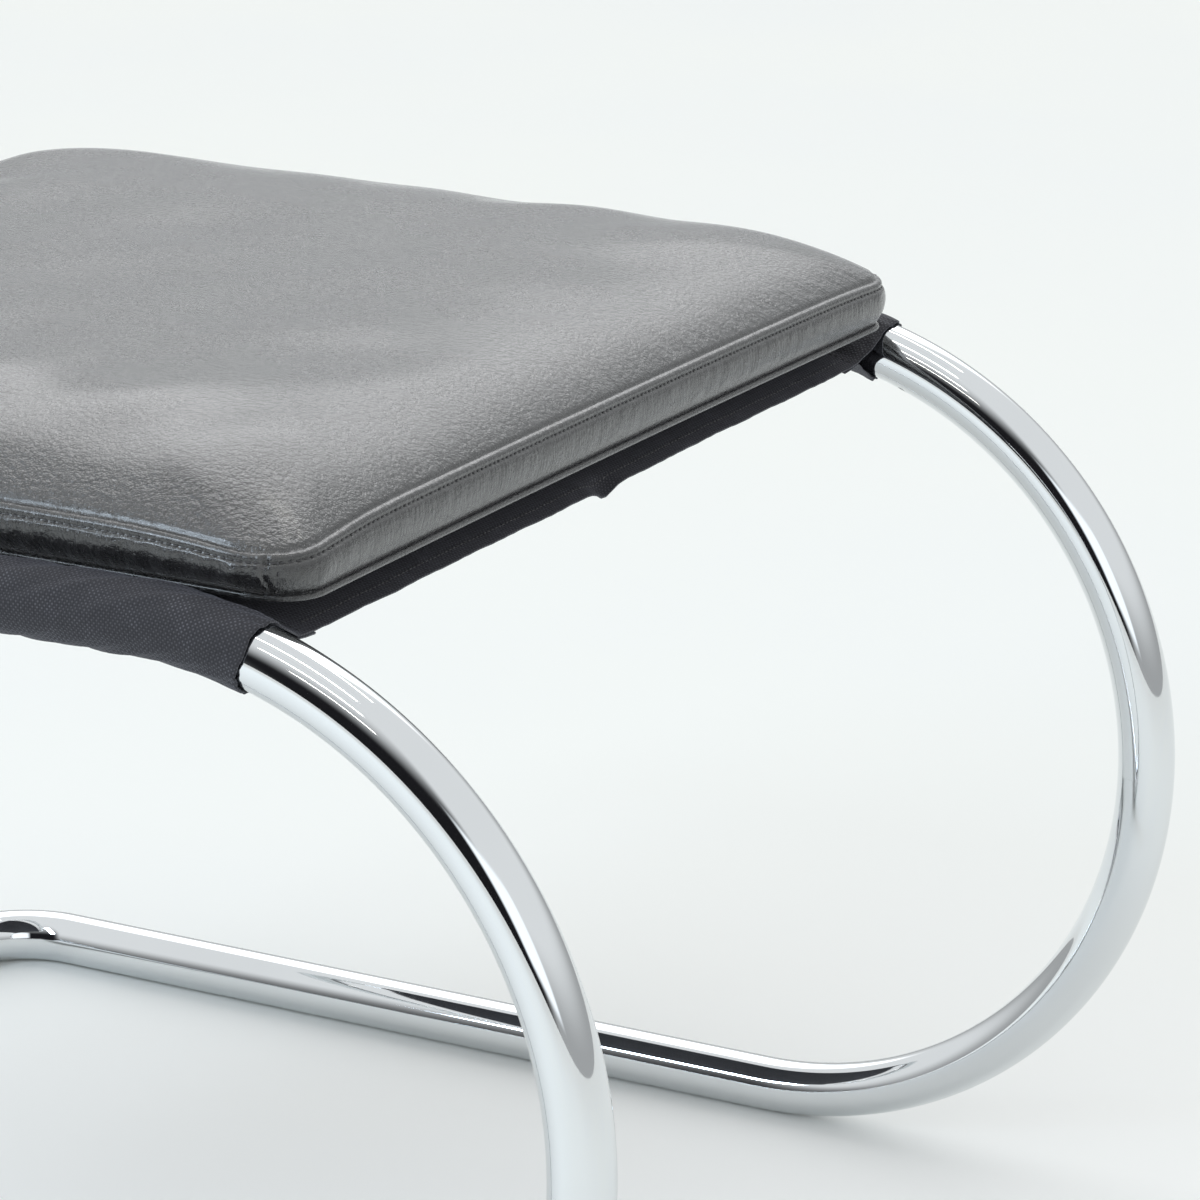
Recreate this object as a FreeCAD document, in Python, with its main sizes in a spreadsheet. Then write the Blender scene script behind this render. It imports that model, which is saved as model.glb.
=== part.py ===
import FreeCAD, Part
import math
import os
import Sketcher
from FreeCAD import Placement, Rotation, Vector

# Backless cantilever stool: a bent round-tube frame with two half-circle fronts,
# a cloth sling sewn in two tunnels over the seat rails, and a loose boxed leather cushion.
# Millimetres, +Z up, the half circles face -Y, and the origin is under the middle of the footprint.
# In the local frame of every piece y = 0 is the axis of the half circles.

DIMENSIONS = {
    # frame
    "tube_diameter": 25.0,
    "tube_wall": 2.0,
    "arc_radius": 182.5,
    "side_spacing": 532.0,
    "frame_length": 431.5,
    "corner_radius": 46.5,
    "joint_setback": 60.0,
    "spigot_length": 90.0,
    "spigot_clearance": 0.15,
    "spigot_chamfer": 1.5,
    "screw_diameter": 6.0,
    "screw_chamfer": 0.5,
    "screw_length": 8.0,
    "screw_socket": 3.0,
    "screw_socket_depth": 3.0,
    "screw_setback": 22.0,
    "screw_clearance": 0.1,
    "vent_diameter": 3.6,
    "vent_arc_angle": 21.0,
    "vent_tilt": 60.0,
    # sling
    "cloth_thickness": 1.0,
    "cloth_clearance": 0.25,
    "mouth_angle": 16.0,
    "tunnel_seam": 28.0,
    "hem_margin": 1.5,
    # cushion
    "cushion_width": 516.0,
    "cushion_overhang": 58.0,
    "cushion_rear_gap": 31.0,
    "cushion_corner": 24.0,
    "band_height": 21.5,
    "band_bulge": 3.5,
    "zip_band_bulge": 0.6,
    "bottom_inset": 7.0,
    "side_draw_in": 1.2,
    "crown_height": 27.0,
    "crown_reach": 120.0,
    "crown_corner": 72.0,
    "belly_depth": 9.5,
    "rest_clearance": 0.3,
    "leather_thickness": 1.4,
    "lining_clearance": 0.3,
    "wadding_thickness": 4.0,
    "band_seam_setback": 10.0,
    "piping_diameter": 2.4,
    "piping_clearance": 0.05,
    # zip
    "zip_length": 400.0,
    "zip_slot": 10.4,
    "zip_end_margin": 8.0,
    "tape_width": 6.6,
    "tape_thickness": 0.8,
    "tape_setback": 0.7,
    "tape_clearance": 0.8,
    "coil_width": 2.6,
    "coil_height": 1.5,
    "coil_rounding": 0.675,
    "coil_gap": 1.2,
    "stop_length": 2.5,
    "slider_length": 11.0,
    "slider_width": 9.0,
    "slider_plate": 1.2,
    "slider_web": 0.6,
    "slider_clearance": 0.3,
    "bridge_length": 5.0,
    "bridge_width": 2.4,
    "bridge_height": 2.8,
    "bridge_clearance": 0.15,
    "slider_corner": 2.0,
    "pull_length": 24.0,
    "pull_width": 7.0,
    "pull_thickness": 1.2,
    "pull_bar": 1.2,
    "pull_window": 3.6,
    "pull_window_clearance": 0.4,
    "pull_hole": 3.0,
}

doc = FreeCAD.newDocument("cantilever_stool")
sheet = doc.addObject("Spreadsheet::Sheet", "dims")
for row, (alias, value) in enumerate(DIMENSIONS.items(), start=1):
    sheet.set("A%d" % row, alias)
    sheet.set("B%d" % row, str(value))
    sheet.setAlias("B%d" % row, alias)
doc.recompute()


def size(alias):
    """A driving dimension, read from the sheet."""
    return float(sheet.get(alias))


tube_r = size("tube_diameter") / 2
bore_r = tube_r - size("tube_wall")
arc_r = size("arc_radius")
rail_x = size("side_spacing") / 2
rail_z = 2 * arc_r + tube_r
arc_z = arc_r + tube_r
parts = []


def keep(obj, label, y="0"):
    """Name a finished piece and put it in the frame of the whole stool."""
    obj.Label = label
    obj.setExpression("Placement.Base.y", "(dims.arc_radius - dims.frame_length) / 2 + " + y)
    parts.append(obj)
    return obj


def keep_shape(shape, label):
    """A piece whose form has no feature of its own: the shape is set, then its place."""
    obj = doc.addObject("Part::Feature", label)
    obj.Shape = shape.Solids[0] if len(shape.Solids) == 1 else shape
    obj.Placement = Placement()
    return keep(obj, label)


def new_body(label):
    body = doc.addObject("PartDesign::Body", label)
    body.Label = label
    return body


def plane(body, role):
    for feature in body.Origin.OriginFeatures:
        if feature.Role == role:
            return feature
    raise ValueError("no plane " + role)


def new_sketch(body, name, role, offset=None):
    """A sketch on an origin plane, moved along the plane's normal by an expression."""
    sketch = body.newObject("Sketcher::SketchObject", name)
    sketch.AttachmentSupport = [(plane(body, role), "")]
    sketch.MapMode = "FlatFace"
    if offset:
        sketch.setExpression("AttachmentOffset.Base.z", offset)
    return sketch


def bind(sketch, kind, args, expression):
    """A dimension of the sketch that follows the sheet."""
    index = sketch.addConstraint(Sketcher.Constraint(kind, *args))
    sketch.setExpression("Constraints[%d]" % index, expression)


def pin_point(sketch, geometry, point, x_expression, y_expression):
    """Fix a point of the sketch by its distances from the sketch origin."""
    origin = (-1, 1)
    here = sketch.getPoint(geometry, point)
    distances = (("DistanceX", here.x, x_expression), ("DistanceY", here.y, y_expression))
    for kind, value, expression in distances:
        bind(sketch, kind, (*origin, geometry, point, value), expression)


def place(obj, x, y, z):
    for axis, expression in zip("xyz", (x, y, z)):
        obj.setExpression("Placement.Base." + axis, expression)
    return obj


def block(name, corner, lengths):
    """A block from its lowest corner and its lengths along X, Y and Z, all bound to the sheet."""
    box = doc.addObject("Part::Box", name)
    for side, expression in zip(("Length", "Width", "Height"), lengths):
        box.setExpression(side, expression)
    return place(box, *corner)


def upright_rod(name, radius, height, x, y, z):
    rod = doc.addObject("Part::Cylinder", name)
    rod.setExpression("Radius", radius)
    rod.setExpression("Height", height)
    return place(rod, x, y, z)


def cut(name, base, tool):
    result = doc.addObject("Part::Cut", name)
    result.Base = base
    result.Tool = tool
    return result


def fuse(name, pieces):
    result = doc.addObject("Part::MultiFuse", name)
    result.Shapes = pieces
    return result


def rounded(name, base, radius, direction):
    """Round the edges of a block that run one way."""
    doc.recompute()
    chosen = []
    for index, edge in enumerate(base.Shape.Edges, start=1):
        run = edge.Vertexes[-1].Point - edge.Vertexes[0].Point
        if run.Length > 0 and abs(run.normalize().dot(direction)) > 0.999:
            chosen.append((index, radius, radius))
    fillet = doc.addObject("Part::Fillet", name)
    fillet.Base = base
    fillet.Edges = chosen
    return fillet


RAIL = "dims.side_spacing / 2"
TUBE = "dims.tube_diameter / 2"
RAIL_HEIGHT = "2 * dims.arc_radius + dims.tube_diameter / 2"
ARC_HEIGHT = "dims.arc_radius + dims.tube_diameter / 2"
BEND_START = "dims.frame_length - dims.corner_radius"
SCREW_HOLE = "dims.screw_diameter / 2 + dims.screw_clearance"


def tube_section(body, name, centre, expressions, offset):
    """The ring of the tube's wall, square to the rail, in a plane at a given y."""
    sketch = new_sketch(body, name, "XZ_Plane", offset)
    for radius, expression in ((tube_r, TUBE), (bore_r, "(dims.tube_diameter - 2 * dims.tube_wall) / 2")):
        index = sketch.addGeometry(Part.Circle(Vector(*centre, 0), Vector(0, 0, 1), radius), False)
        pin_point(sketch, index, 3, *expressions)
        bind(sketch, "Radius", (index, radius), expression)
    return sketch


def sketch_line(sketch, start, end):
    return sketch.addGeometry(Part.LineSegment(Vector(*start, 0), Vector(*end, 0)), False)


def sweep(body, name, section, path):
    pipe = body.newObject("PartDesign::AdditivePipe", name)
    pipe.Profile = section
    pipe.Spine = (path, ["Edge%d" % (i + 1) for i in range(path.GeometryCount)])
    doc.recompute()
    return pipe


def rear_u(sketch, start_y, legs):
    """Path of a U seen from above: two bends and the rear cross tube, with legs or without."""
    bend_y = size("frame_length") - size("corner_radius")
    bend_x = rail_x - size("corner_radius")
    corner = size("corner_radius")
    rear_y = size("frame_length")
    bends = []
    for side, turn in ((-1, (math.pi / 2, math.pi)), (1, (0, math.pi / 2))):
        circle = Part.Circle(Vector(side * bend_x, bend_y, 0), Vector(0, 0, 1), corner)
        bends.append(sketch.addGeometry(Part.ArcOfCircle(circle, *turn), False))
    left, right = bends
    straight = Part.LineSegment(Vector(-bend_x, rear_y, 0), Vector(bend_x, rear_y, 0))
    cross = sketch.addGeometry(straight, False)
    # in an arc point 1 is where it starts, counted anticlockwise, and point 2 where it ends
    sketch.addConstraint(Sketcher.Constraint("Tangent", left, 1, cross, 1))
    sketch.addConstraint(Sketcher.Constraint("Tangent", cross, 2, right, 2))
    bind(sketch, "Radius", (left, corner), "dims.corner_radius")
    bind(sketch, "Radius", (right, corner), "dims.corner_radius")
    pin_point(sketch, left, 3, "-(%s - dims.corner_radius)" % RAIL, BEND_START)
    pin_point(sketch, right, 3, "%s - dims.corner_radius" % RAIL, BEND_START)
    bind(sketch, "DistanceY", (-1, 1, left, 2, bend_y), BEND_START)
    bind(sketch, "DistanceY", (-1, 1, right, 1, bend_y), BEND_START)
    if not legs:
        return
    for side, bend, point in ((-1, left, 2), (1, right, 1)):
        ends = (Vector(side * rail_x, bend_y, 0), Vector(side * rail_x, start_y, 0))
        leg = sketch.addGeometry(Part.LineSegment(*ends), False)
        sketch.addConstraint(Sketcher.Constraint("Coincident", leg, 1, bend, point))
        sign = "-" if side < 0 else ""
        pin_point(sketch, leg, 2, sign + RAIL, "dims.joint_setback")


def radial_hole(body, name, radius, at, outward):
    """A hole drilled through one wall of the tube, along its outward direction."""
    hole = body.newObject("PartDesign::SubtractiveCylinder", name)
    hole.setExpression("Radius", radius)
    hole.setExpression("Height", "dims.tube_wall * 2")
    start = at + outward * (tube_r - 1.5 * size("tube_wall"))
    hole.Placement = Placement(start, Rotation(Vector(0, 0, 1), outward))
    doc.recompute()
    return hole


def screw_ys():
    """Where the set screws cross the joint: one in front of the parting line and one behind."""
    joint = size("joint_setback")
    return (joint - size("screw_setback"), joint + size("screw_setback"))


def base_side(body, side):
    """One rail stub, half circle and floor runner, swept in the upright plane of that side."""
    sign = "-" if side < 0 else ""
    path = new_sketch(body, "side_path", "YZ_Plane", sign + RAIL)
    joint_y = size("joint_setback")
    bend_y = size("frame_length") - size("corner_radius")
    rail = sketch_line(path, (joint_y, rail_z), (0, rail_z))
    circle = Part.Circle(Vector(0, arc_z, 0), Vector(0, 0, 1), arc_r)
    arc = path.addGeometry(Part.ArcOfCircle(circle, math.pi / 2, 3 * math.pi / 2), False)
    runner = sketch_line(path, (0, tube_r), (bend_y, tube_r))
    path.addConstraint(Sketcher.Constraint("Tangent", rail, 2, arc, 1))
    path.addConstraint(Sketcher.Constraint("Tangent", arc, 2, runner, 1))
    pin_point(path, arc, 3, "0", ARC_HEIGHT)
    bind(path, "Radius", (arc, arc_r), "dims.arc_radius")
    bind(path, "DistanceX", (-1, 1, rail, 1, joint_y), "dims.joint_setback")
    bind(path, "DistanceX", (-1, 1, runner, 2, bend_y), BEND_START)
    place = (sign + RAIL, RAIL_HEIGHT)
    section = tube_section(body, "side_section", (side * rail_x, rail_z), place, "-dims.joint_setback")
    sweep(body, "side_tube", section, path)


def base_holes(body, side):
    """The plating vent on the inner underside of the half circle, and the set screw's hole."""
    angle = math.radians(size("vent_arc_angle"))
    tilt = math.radians(size("vent_tilt"))
    at = Vector(side * rail_x, -arc_r * math.sin(angle), arc_z + arc_r * math.cos(angle))
    down = Vector(0, math.sin(angle), -math.cos(angle))
    outward = Vector(-side, 0, 0) * math.cos(tilt) + down * math.sin(tilt)
    radial_hole(body, "vent_hole", "dims.vent_diameter / 2", at, outward)
    at = Vector(side * rail_x, screw_ys()[0], rail_z)
    return radial_hole(body, "screw_hole", SCREW_HOLE, at, Vector(0, 0, -1))


def base_frame_tube():
    """Both half circles, the floor runners and the rear floor cross tube, bent from one tube."""
    body = new_body("base_frame_tube")
    base_side(body, -1)
    rear = new_sketch(body, "rear_path", "XY_Plane", TUBE)
    rear_u(rear, size("frame_length") - size("corner_radius"), False)
    section = tube_section(body, "rear_section", (-rail_x, tube_r), ("-" + RAIL, TUBE),
                           "-(%s)" % BEND_START)
    sweep(body, "rear_cross", section, rear)
    base_side(body, 1)
    for side in (-1, 1):
        body.Tip = base_holes(body, side)
    return keep(body, "base_frame_tube")


def seat_frame_tube():
    """The seat's U: two rails under the sling and the rear cross tube."""
    body = new_body("seat_frame_tube")
    path = new_sketch(body, "seat_path", "XY_Plane", RAIL_HEIGHT)
    joint_y = size("joint_setback")
    rear_u(path, joint_y, True)
    section = tube_section(body, "seat_section", (-rail_x, rail_z), ("-" + RAIL, RAIL_HEIGHT),
                           "-dims.joint_setback")
    sweep(body, "seat_u", section, path)
    holes = []
    for side in (-1, 1):
        at = Vector(side * rail_x, screw_ys()[1], rail_z)
        holes.append(radial_hole(body, "screw_hole", SCREW_HOLE, at, Vector(0, 0, -1)))
    body.Tip = holes[-1]
    return keep(body, "seat_frame_tube")


def joint_spigot(label, side):
    """A turned bar that plugs the seat rail into the arc's end, tapped for its set screws."""
    rail = ("-" if side < 0 else "") + RAIL
    bar = doc.addObject("Part::Cylinder", label + "_bar")
    bar.setExpression("Radius", "dims.tube_diameter / 2 - dims.tube_wall - dims.spigot_clearance")
    bar.setExpression("Height", "dims.spigot_length")
    bar.Placement = Placement(Vector(), Rotation(Vector(0, 0, 1), Vector(0, 1, 0)))
    place(bar, rail, "dims.joint_setback - dims.spigot_length / 2", RAIL_HEIGHT)
    doc.recompute()
    tapped = doc.addObject("Part::Chamfer", label + "_ends")
    tapped.Base = bar
    width = size("spigot_chamfer")
    rims = [index for index, edge in enumerate(bar.Shape.Edges, start=1) if edge.Closed]
    tapped.Edges = [(index, width, width) for index in rims]
    for setback in ("- dims.screw_setback", "+ dims.screw_setback"):
        y = "dims.joint_setback " + setback
        z = "2 * dims.arc_radius"
        depth = "dims.screw_length + dims.screw_clearance"
        tap = upright_rod(label + "_tap", SCREW_HOLE, depth, rail, y, z)
        tapped = cut(label + "_tapped", tapped, tap)
    keep(tapped, label)


def set_screw():
    """A socket set screw standing point up, with its socket at z = 0."""
    depth = size("screw_length")
    body = Part.makeCylinder(size("screw_diameter") / 2, depth)
    rim = [edge for edge in body.Edges if edge.Closed]
    body = body.makeChamfer(size("screw_chamfer"), rim)
    across = size("screw_socket")
    corners = [Vector(across / math.sqrt(3), 0, 0)]
    turn = Rotation(Vector(0, 0, 1), 60)
    for _ in range(6):
        corners.append(turn.multVec(corners[-1]))
    socket = Part.Face(Part.makePolygon(corners)).extrude(Vector(0, 0, size("screw_socket_depth")))
    return body.cut(socket)


def spigot_screws():
    """The four set screws that lock the spigots, flush under the rails."""
    screws = []
    for side in (-1, 1):
        for y in screw_ys():
            screw = set_screw()
            screw.translate(Vector(side * rail_x, y, rail_z - tube_r + size("screw_clearance")))
            screws.append(screw)
    return keep_shape(Part.makeCompound(screws), "spigot_screws")


def tunnel_outline():
    """Corner points of one tunnel: where its straight cloth leaves the rail, outside and inside."""
    cloth = size("cloth_thickness")
    inner = tube_r + size("cloth_clearance")
    outer = inner + cloth
    seam = size("tunnel_seam")
    reach = math.hypot(seam, cloth)
    lift = math.atan2(cloth, seam) + math.acos(outer / reach)
    outer_touch = (rail_x - outer * math.cos(lift), outer * math.sin(lift))
    angle = math.acos(inner / seam)
    inner_touch = (rail_x - inner * math.cos(angle), inner * math.sin(angle))
    return outer, inner, outer_touch, inner_touch


def tunnel_arc(sketch, side, radius, touch, radius_expression):
    """The cloth's turn round one rail, open towards the web."""
    angle = math.atan2(touch[1], rail_x - touch[0])
    span = (math.pi + angle, 3 * math.pi - angle) if side > 0 else (angle, 2 * math.pi - angle)
    circle = Part.Circle(Vector(side * rail_x, rail_z, 0), Vector(0, 0, 1), radius)
    arc = sketch.addGeometry(Part.ArcOfCircle(circle, *span), False)
    bind(sketch, "Radius", (arc, radius), radius_expression)
    pin_point(sketch, arc, 3, ("-" if side < 0 else "") + RAIL, RAIL_HEIGHT)
    return arc


def sling_section(body, name):
    """Half the cloth's section is a tunnel drawn to a point at its seam, and the web joins the two."""
    sketch = new_sketch(body, name, "XZ_Plane")
    outer, inner, outer_touch, inner_touch = tunnel_outline()
    cloth = size("cloth_thickness")
    seam_x = rail_x - size("tunnel_seam")
    web = {}
    for up in (1, -1):
        web[up] = sketch_line(sketch, (-seam_x, rail_z + up * cloth), (seam_x, rail_z + up * cloth))
        height = "%s %s dims.cloth_thickness" % (RAIL_HEIGHT, "+" if up > 0 else "-")
        seam = "%s - dims.tunnel_seam" % RAIL
        pin_point(sketch, web[up], 1, "-(%s)" % seam, height)
        pin_point(sketch, web[up], 2, seam, height)
    clearance = "%s + dims.cloth_clearance" % TUBE
    for side in (-1, 1):
        skin = tunnel_arc(sketch, side, outer, outer_touch, clearance + " + dims.cloth_thickness")
        lining = tunnel_arc(sketch, side, inner, inner_touch, clearance)
        tip = []
        for up in (1, -1):
            # counted anticlockwise, the right arc starts on its upper end and the left on its lower
            end = 2 if (side > 0) == (up > 0) else 1
            start = (side * seam_x, rail_z + up * cloth)
            slope = sketch_line(sketch, start, (side * outer_touch[0], rail_z + up * outer_touch[1]))
            sketch.addConstraint(Sketcher.Constraint("Coincident", web[up], 2 if side > 0 else 1, slope, 1))
            sketch.addConstraint(Sketcher.Constraint("Tangent", slope, 2, skin, end))
            touch = (side * inner_touch[0], rail_z + up * inner_touch[1])
            slope = sketch_line(sketch, (side * seam_x, rail_z), touch)
            sketch.addConstraint(Sketcher.Constraint("Tangent", slope, 2, lining, end))
            tip.append(slope)
        sketch.addConstraint(Sketcher.Constraint("Coincident", tip[0], 1, tip[1], 1))
        sign = "-" if side < 0 else ""
        pin_point(sketch, tip[0], 1, "%s(%s - dims.tunnel_seam)" % (sign, RAIL), RAIL_HEIGHT)
    return sketch


def sling():
    """The cloth: one web between two sewn tunnels, following the rails round to its front mouths."""
    body = new_body("sling")
    section = sling_section(body, "rear_section")
    rear = body.newObject("PartDesign::Pad", "straight_cloth")
    rear.Profile = section
    rear.Reversed = True
    rear.setExpression("Length", BEND_START + " - dims.hem_margin")
    section = sling_section(body, "front_section")
    reach = rail_x + tube_r
    axis = section.addGeometry(Part.LineSegment(Vector(-reach, arc_z, 0), Vector(reach, arc_z, 0)), True)
    section.addConstraint(Sketcher.Constraint("Horizontal", axis))
    for point, sign in ((1, "-"), (2, "")):
        bind(section, "DistanceX", (-1, 1, axis, point, reach if point == 2 else -reach), sign + RAIL)
    bind(section, "DistanceY", (-1, 1, axis, 1, arc_z), ARC_HEIGHT)
    front = body.newObject("PartDesign::Revolution", "curved_cloth")
    front.Profile = section
    front.ReferenceAxis = (section, ["Axis0"])
    front.setExpression("Angle", "dims.mouth_angle")
    front.Reversed = False
    doc.recompute()
    return keep(body, "sling")


# the cushion stops short of the rear seat tube
rear_seam_y = size("frame_length") - tube_r - size("cushion_rear_gap")
bottom_seam_z = rail_z + size("cloth_thickness") + size("rest_clearance") + size("belly_depth")
top_seam_z = bottom_seam_z + size("band_height")


def outline(insets, corner, z):
    """The cushion seen from above at one height: drawn-in sides, a straight rear, tangent corners.

    The insets are the distances inside the top seam's outline, at the sides, front and rear.
    """
    side_inset, front_inset, rear_inset = insets
    half_x = size("cushion_width") / 2 - side_inset
    front = front_inset - size("cushion_overhang")
    rear = rear_seam_y - rear_inset
    lean = math.radians(size("side_draw_in"))
    along, across = corner * math.cos(lean), corner * math.sin(lean)
    side_front, side_rear = (half_x - across, front + along), (half_x - across, rear - along)
    front_end, rear_end = (half_x - along, front + across), (half_x - corner, rear)
    corners = [
        ((-side_rear[0], side_rear[1]), (-side_front[0], side_front[1]), Vector(1, 0, 0)),
        ((-front_end[0], front_end[1]), front_end, Vector(0, 1, 0)),
        (side_front, side_rear, Vector(-1, 0, 0)),
        (rear_end, (-rear_end[0], rear_end[1]), None),
    ]
    sides = [(Vector(*start, z), Vector(*end, z), inward) for start, end, inward in corners]
    edges = []
    for index, (start, end, inward) in enumerate(sides):
        if inward is None:
            edges.append(Part.LineSegment(start, end).toShape())
        else:
            sag = (end - start).Length / 2 * math.tan(lean / 2)
            edges.append(Part.Arc(start, (start + end) * 0.5 + inward * sag, end).toShape())
        following = sides[(index + 1) % 4][0]
        turn = math.pi / 2 + lean * (2 if index < 2 else 1)
        chord = following - end
        outward = Vector(chord.y, -chord.x, 0).normalize()
        middle = (end + following) * 0.5 + outward * (chord.Length / 2 * math.tan(turn / 4))
        edges.append(Part.Arc(end, middle, following).toShape())
    return Part.Wire(edges)


# how far in from the seam each ring of the crown and of the belly lies, as a share of the crown's reach
RING_SHARES = (0.0, 0.04, 0.12, 0.26, 0.52, 1.0)
CROWN_POWER = 7.5


def dome(gap, base_insets, base_z, height):
    """A padded face of the cushion, steep at its seam and nearly flat in the middle."""
    rings = []
    reach = size("crown_reach")
    for share in RING_SHARES:
        inset = share * reach
        rise = 1 - (1 - inset / (2 * reach)) ** CROWN_POWER
        corner = size("cushion_corner") + (size("crown_corner") - size("cushion_corner")) * share
        insets = [base + gap + inset for base in base_insets]
        rings.append(outline(insets, corner, base_z + height * rise))
    return Part.makeLoft(rings, True, False)


def bottom_insets():
    return (size("bottom_inset"), 0.0, size("zip_band_bulge"))


def crown(gap):
    return dome(gap, (0.0, 0.0, 0.0), top_seam_z, size("crown_height") - gap)


def belly(gap):
    return dome(gap, bottom_insets(), bottom_seam_z, gap - size("belly_depth"))


def band(gap):
    """The upright band between the seams, bulging in the middle of its height."""
    bulge = -size("band_bulge")
    rows = (
        (bottom_insets(), bottom_seam_z),
        ((bulge, bulge, -size("zip_band_bulge")), (bottom_seam_z + top_seam_z) / 2),
        ((0.0, 0.0, 0.0), top_seam_z),
    )
    rings = [outline([inset + gap for inset in insets], size("cushion_corner"), z) for insets, z in rows]
    return Part.makeLoft(rings, True, False)


def filling(gap):
    return crown(gap).fuse([band(gap), belly(gap)])


def slab(front, rear):
    """Everything between two values of y, to cut the band at its upright seams."""
    reach = size("cushion_width")
    height = 2 * rail_z
    return Part.makeBox(2 * reach, rear - front, height, Vector(-reach, front, 0))


def zip_slot(length, height, depth):
    """The room along the middle of the rear band, from behind its surface to well outside."""
    outside = rear_face() + size("band_bulge")
    start = Vector(-length / 2, outside - depth, (bottom_seam_z + top_seam_z - height) / 2)
    return Part.makeBox(length, depth, height, start)


def rear_face():
    """Where the rear band's outer surface lies at half its height."""
    return rear_seam_y + size("zip_band_bulge")


def cushion_cover():
    """The leather: domed top and bottom panels and four bands, cut from a shell one hide thick."""
    hide = size("leather_thickness")
    keep_shape(crown(0).cut(crown(hide)), "cushion_top_panel")
    keep_shape(belly(0).cut(belly(hide)), "cushion_bottom_panel")
    wall = band(0).cut(band(hide))
    front = size("band_seam_setback") - size("cushion_overhang")
    rear = rear_seam_y - size("band_seam_setback")
    reach = size("cushion_width")
    keep_shape(wall.common(slab(front - reach, front)), "cushion_front_band")
    halves = wall.common(slab(front, rear)).Solids
    for label, sign in (("cushion_left_band", -1), ("cushion_right_band", 1)):
        keep_shape(max(halves, key=lambda half: sign * half.CenterOfMass.x), label)
    slot_length = size("zip_length") + 2 * (size("stop_length") + size("slider_clearance"))
    slot = zip_slot(slot_length, size("zip_slot"), 4 * size("band_bulge"))
    keep_shape(wall.common(slab(rear, rear + reach)).cut(slot), "cushion_zip_band")


def cushion_filling():
    """A wadding wrap, left open along the zip, round a foam core."""
    outer = size("leather_thickness") + size("lining_clearance")
    inner = outer + size("wadding_thickness")
    margin = size("stop_length") + size("zip_end_margin") + size("tape_clearance")
    length = size("zip_length") + 2 * margin
    height = 2 * (size("tape_width") + size("tape_clearance")) + size("coil_gap")
    slot = zip_slot(length, height, size("band_bulge") + inner + size("lining_clearance"))
    keep_shape(filling(outer).cut(filling(inner)).cut(slot), "cushion_wadding")
    keep_shape(filling(inner + size("lining_clearance")), "cushion_foam")


def cushion_piping():
    """The thin cord in its leather strip, sewn round the bottom seam just below the band."""
    radius = size("piping_diameter") / 2
    out = (radius + size("piping_clearance")) / math.sqrt(2)
    insets = [inset - out for inset in bottom_insets()]
    path = outline(insets, size("cushion_corner"), bottom_seam_z - out)
    start = path.OrderedVertexes[0].Point
    ahead = path.OrderedEdges[0].tangentAt(path.OrderedEdges[0].FirstParameter)
    section = Part.Wire([Part.makeCircle(radius, start, ahead)])
    keep_shape(path.makePipeShell([section], True, True), "cushion_piping")


REAR_FACE = "(dims.frame_length - dims.tube_diameter / 2 - dims.cushion_rear_gap + dims.zip_band_bulge)"
TAPE_FACE = "(%s - dims.leather_thickness - dims.tape_setback)" % REAR_FACE
COIL_FACE = "(%s + dims.coil_height)" % TAPE_FACE
PLATE_FACE = "(%s + dims.slider_clearance + dims.slider_plate)" % COIL_FACE
BACK_FACE = "(%s - dims.tape_thickness - dims.slider_clearance)" % TAPE_FACE
BOTTOM_SEAM = "(%s + dims.cloth_thickness + dims.rest_clearance + dims.belly_depth)" % RAIL_HEIGHT
ZIP_HEIGHT = "(%s + dims.band_height / 2)" % BOTTOM_SEAM
SLIDER_START = "(dims.slider_clearance - dims.zip_length / 2)"
PIVOT_X = "(%s + dims.slider_length / 2)" % SLIDER_START
PIVOT_Y = "(%s + dims.bridge_height - dims.pull_bar - 2 * dims.bridge_clearance)" % PLATE_FACE


def zip_rows():
    """Two tapes behind the slot, each with its row of coil along its edge, a thin gap between."""
    length = "dims.zip_length + 2 * (dims.stop_length + dims.zip_end_margin)"
    for label, up in (("upper", True), ("lower", False)):
        above = "%s + dims.coil_gap / 2" % ZIP_HEIGHT
        low = above if up else "%s - dims.coil_gap / 2 - dims.tape_width" % ZIP_HEIGHT
        tape = block("tape", ("-(%s) / 2" % length, "0", low),
                     (length, "dims.tape_thickness", "dims.tape_width"))
        keep(tape, "zip_%s_tape" % label, "%s - dims.tape_thickness" % TAPE_FACE)
        low = above if up else "%s - dims.coil_gap / 2 - dims.coil_width" % ZIP_HEIGHT
        row = block("coil_row", ("-dims.zip_length / 2", "0", low),
                    ("dims.zip_length", "dims.coil_height", "dims.coil_width"))
        doc.recompute()
        coil = doc.addObject("Part::Fillet", "coil")
        coil.Base = row
        radius = size("coil_rounding")
        edges = enumerate(row.Shape.Edges, start=1)
        outer = [index for index, edge in edges if runs_outside(edge, row.Shape)]
        coil.Edges = [(index, radius, radius) for index in outer]
        keep(coil, "zip_%s_coil" % label, TAPE_FACE)


def runs_outside(edge, shape):
    """Whether an edge runs along X on the outer face of a coil row."""
    box = edge.BoundBox
    return box.XLength > size("zip_length") / 2 and box.YMin > shape.BoundBox.Center.y


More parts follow.
